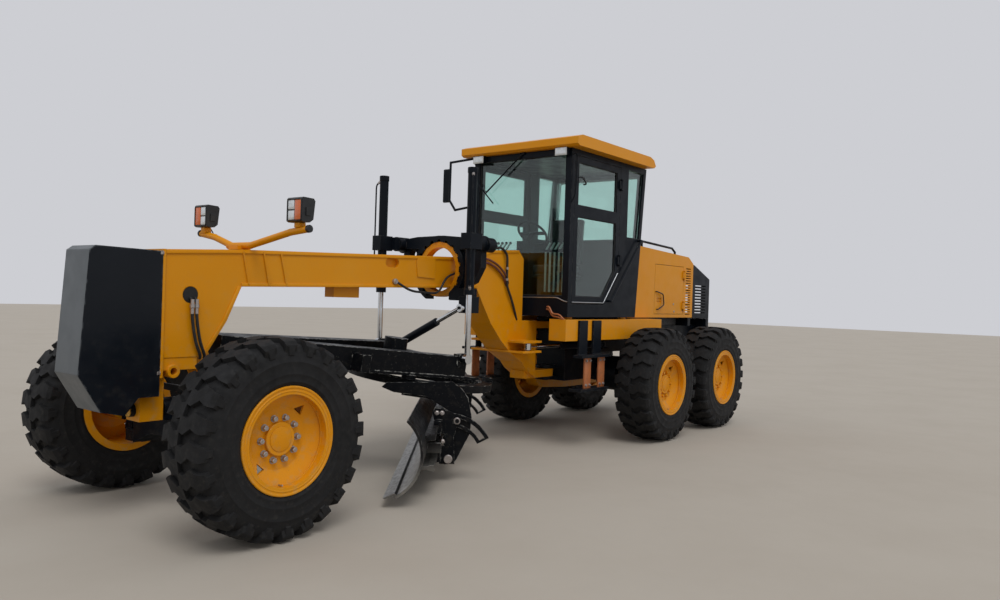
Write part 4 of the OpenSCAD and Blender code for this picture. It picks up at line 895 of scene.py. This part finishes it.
def cushion(name, low, high, lean_deg):
    """A stuffed pad between two corners, swollen by pressure where the simulation runs, leaning back by lean_deg."""
    form = bmesh.new()
    block(form, low, high)
    bmesh.ops.bevel(form, geom=form.edges[:], offset=PAD_ROUND, segments=3, profile=0.6, affect="EDGES")
    bmesh.ops.recalc_face_normals(form, faces=form.faces)
    pad = placed(name, mesh_of(name, form))
    pad.modifiers.new("even", "REMESH").voxel_size = PAD_VOXEL
    even = plain_mesh(pad)
    bpy.data.objects.remove(pad)
    scene = bpy.context.scene
    pad = placed(name, even)
    cloth = pad.modifiers.new("stuffing", "CLOTH")
    cloth.settings.use_pressure = True
    cloth.settings.uniform_pressure_force = PAD_PRESSURE
    cloth.settings.effector_weights.gravity = 0.0
    for step in range(PAD_FRAMES):
        scene.frame_set(step + 1)
    swollen = plain_mesh(pad)
    for vertex, moved in zip(even.vertices, swollen.vertices):
        shift = moved.co - vertex.co
        vertex.co = vertex.co + shift * min(1.0, PAD_CROWN / max(shift.length, 1e-6))
    bpy.data.objects.remove(pad)
    scene.frame_set(1)
    foot = at((low[0] + high[0]) / 2, 0, low[2])
    lean = Matrix.Rotation(math.radians(lean_deg), 4, "Y")
    even.transform(Matrix.Translation(foot) @ lean @ Matrix.Translation(-foot))
    made = keep(name, "rear_frame", even, (CLOTH,), PAD_CORNER)
    finer = made.modifiers.new("finer", "SUBSURF")
    finer.levels = finer.render_levels = 1


cushion("seat_cushion", (-5035, -228, 1942), (-4585, 228, 2042), 0)
cushion("seat_back", (-5085, -218, 2070), (-4985, 218, 2640), -4)
form = bmesh.new()
block(form, (-4950, -160, 1511), (-4670, 160, 1905))
block(form, (-5050, -225, 1903), (-4580, 225, 1935))
side_plate(form, [(-5060, 1925), (-5090, 2300), (-5105, 2300), (-5085, 1915)], -120, 120)
shell = piece("seat_base", "rear_frame", form, ABS, edge_mm=6)
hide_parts("cab_seat")


# Stage and light

FLOOR_HALF_M = 60.0
# What is seen behind the grader, and the even daylight that falls on it
BACKDROP = "#cdced3"
DAYLIGHT, DAYLIGHT_STRENGTH = "#eef1f5", 0.72
# A wide, soft sun, and the direction toward it
SUN_STRENGTH, SUN_WIDTH_DEG = 1.1, 30
SUN_TOWARD = (0.35, 0.55, 1.0)


def make_stage():
    """A pale concrete floor under even daylight with a soft sun from the front left."""
    form = bmesh.new()
    bmesh.ops.create_grid(form, x_segments=1, y_segments=1, size=FLOOR_HALF_M)
    floor = placed("floor", mesh_of("floor", form))
    floor.data.materials.append(finish(
        "plain_concrete", "#b0a79b", 0.9, gloss=(300, 0.85, 0.95),
        stains=[(1500, 0.42, 0.7, 0.3, "#a2978a", None)], grain=[(12.0, 0.6, EVEN)]))
    world = bpy.data.worlds.new("world")
    world.use_nodes = True
    tree = world.node_tree
    light = tree.nodes["Background"]
    light.inputs["Color"].default_value = linear(DAYLIGHT)
    light.inputs["Strength"].default_value = DAYLIGHT_STRENGTH
    seen = add(tree, "ShaderNodeBackground", {"Color": linear(BACKDROP), "Strength": 1.0})
    ray = add(tree, "ShaderNodeLightPath").outputs
    direct = add(tree, "ShaderNodeMath", {0: ray["Is Camera Ray"], 1: ray["Is Glossy Ray"]}, operation="ADD")
    shown = add(tree, "ShaderNodeMath", {0: direct.outputs[0], 1: ray["Is Transmission Ray"]},
                operation="ADD", use_clamp=True)
    both = add(tree, "ShaderNodeMixShader", {0: shown.outputs[0], 1: light.outputs[0], 2: seen.outputs[0]})
    tree.links.new(both.outputs[0], tree.nodes["World Output"].inputs["Surface"])
    bpy.context.scene.world = world
    sun = bpy.data.lights.new("sun", "SUN")
    sun.energy = SUN_STRENGTH
    sun.angle = math.radians(SUN_WIDTH_DEG)
    placed("sun", sun).rotation_euler = Vector(SUN_TOWARD).to_track_quat("Z", "Y").to_euler()
    bpy.context.scene.view_settings.view_transform = "Standard"


make_stage()
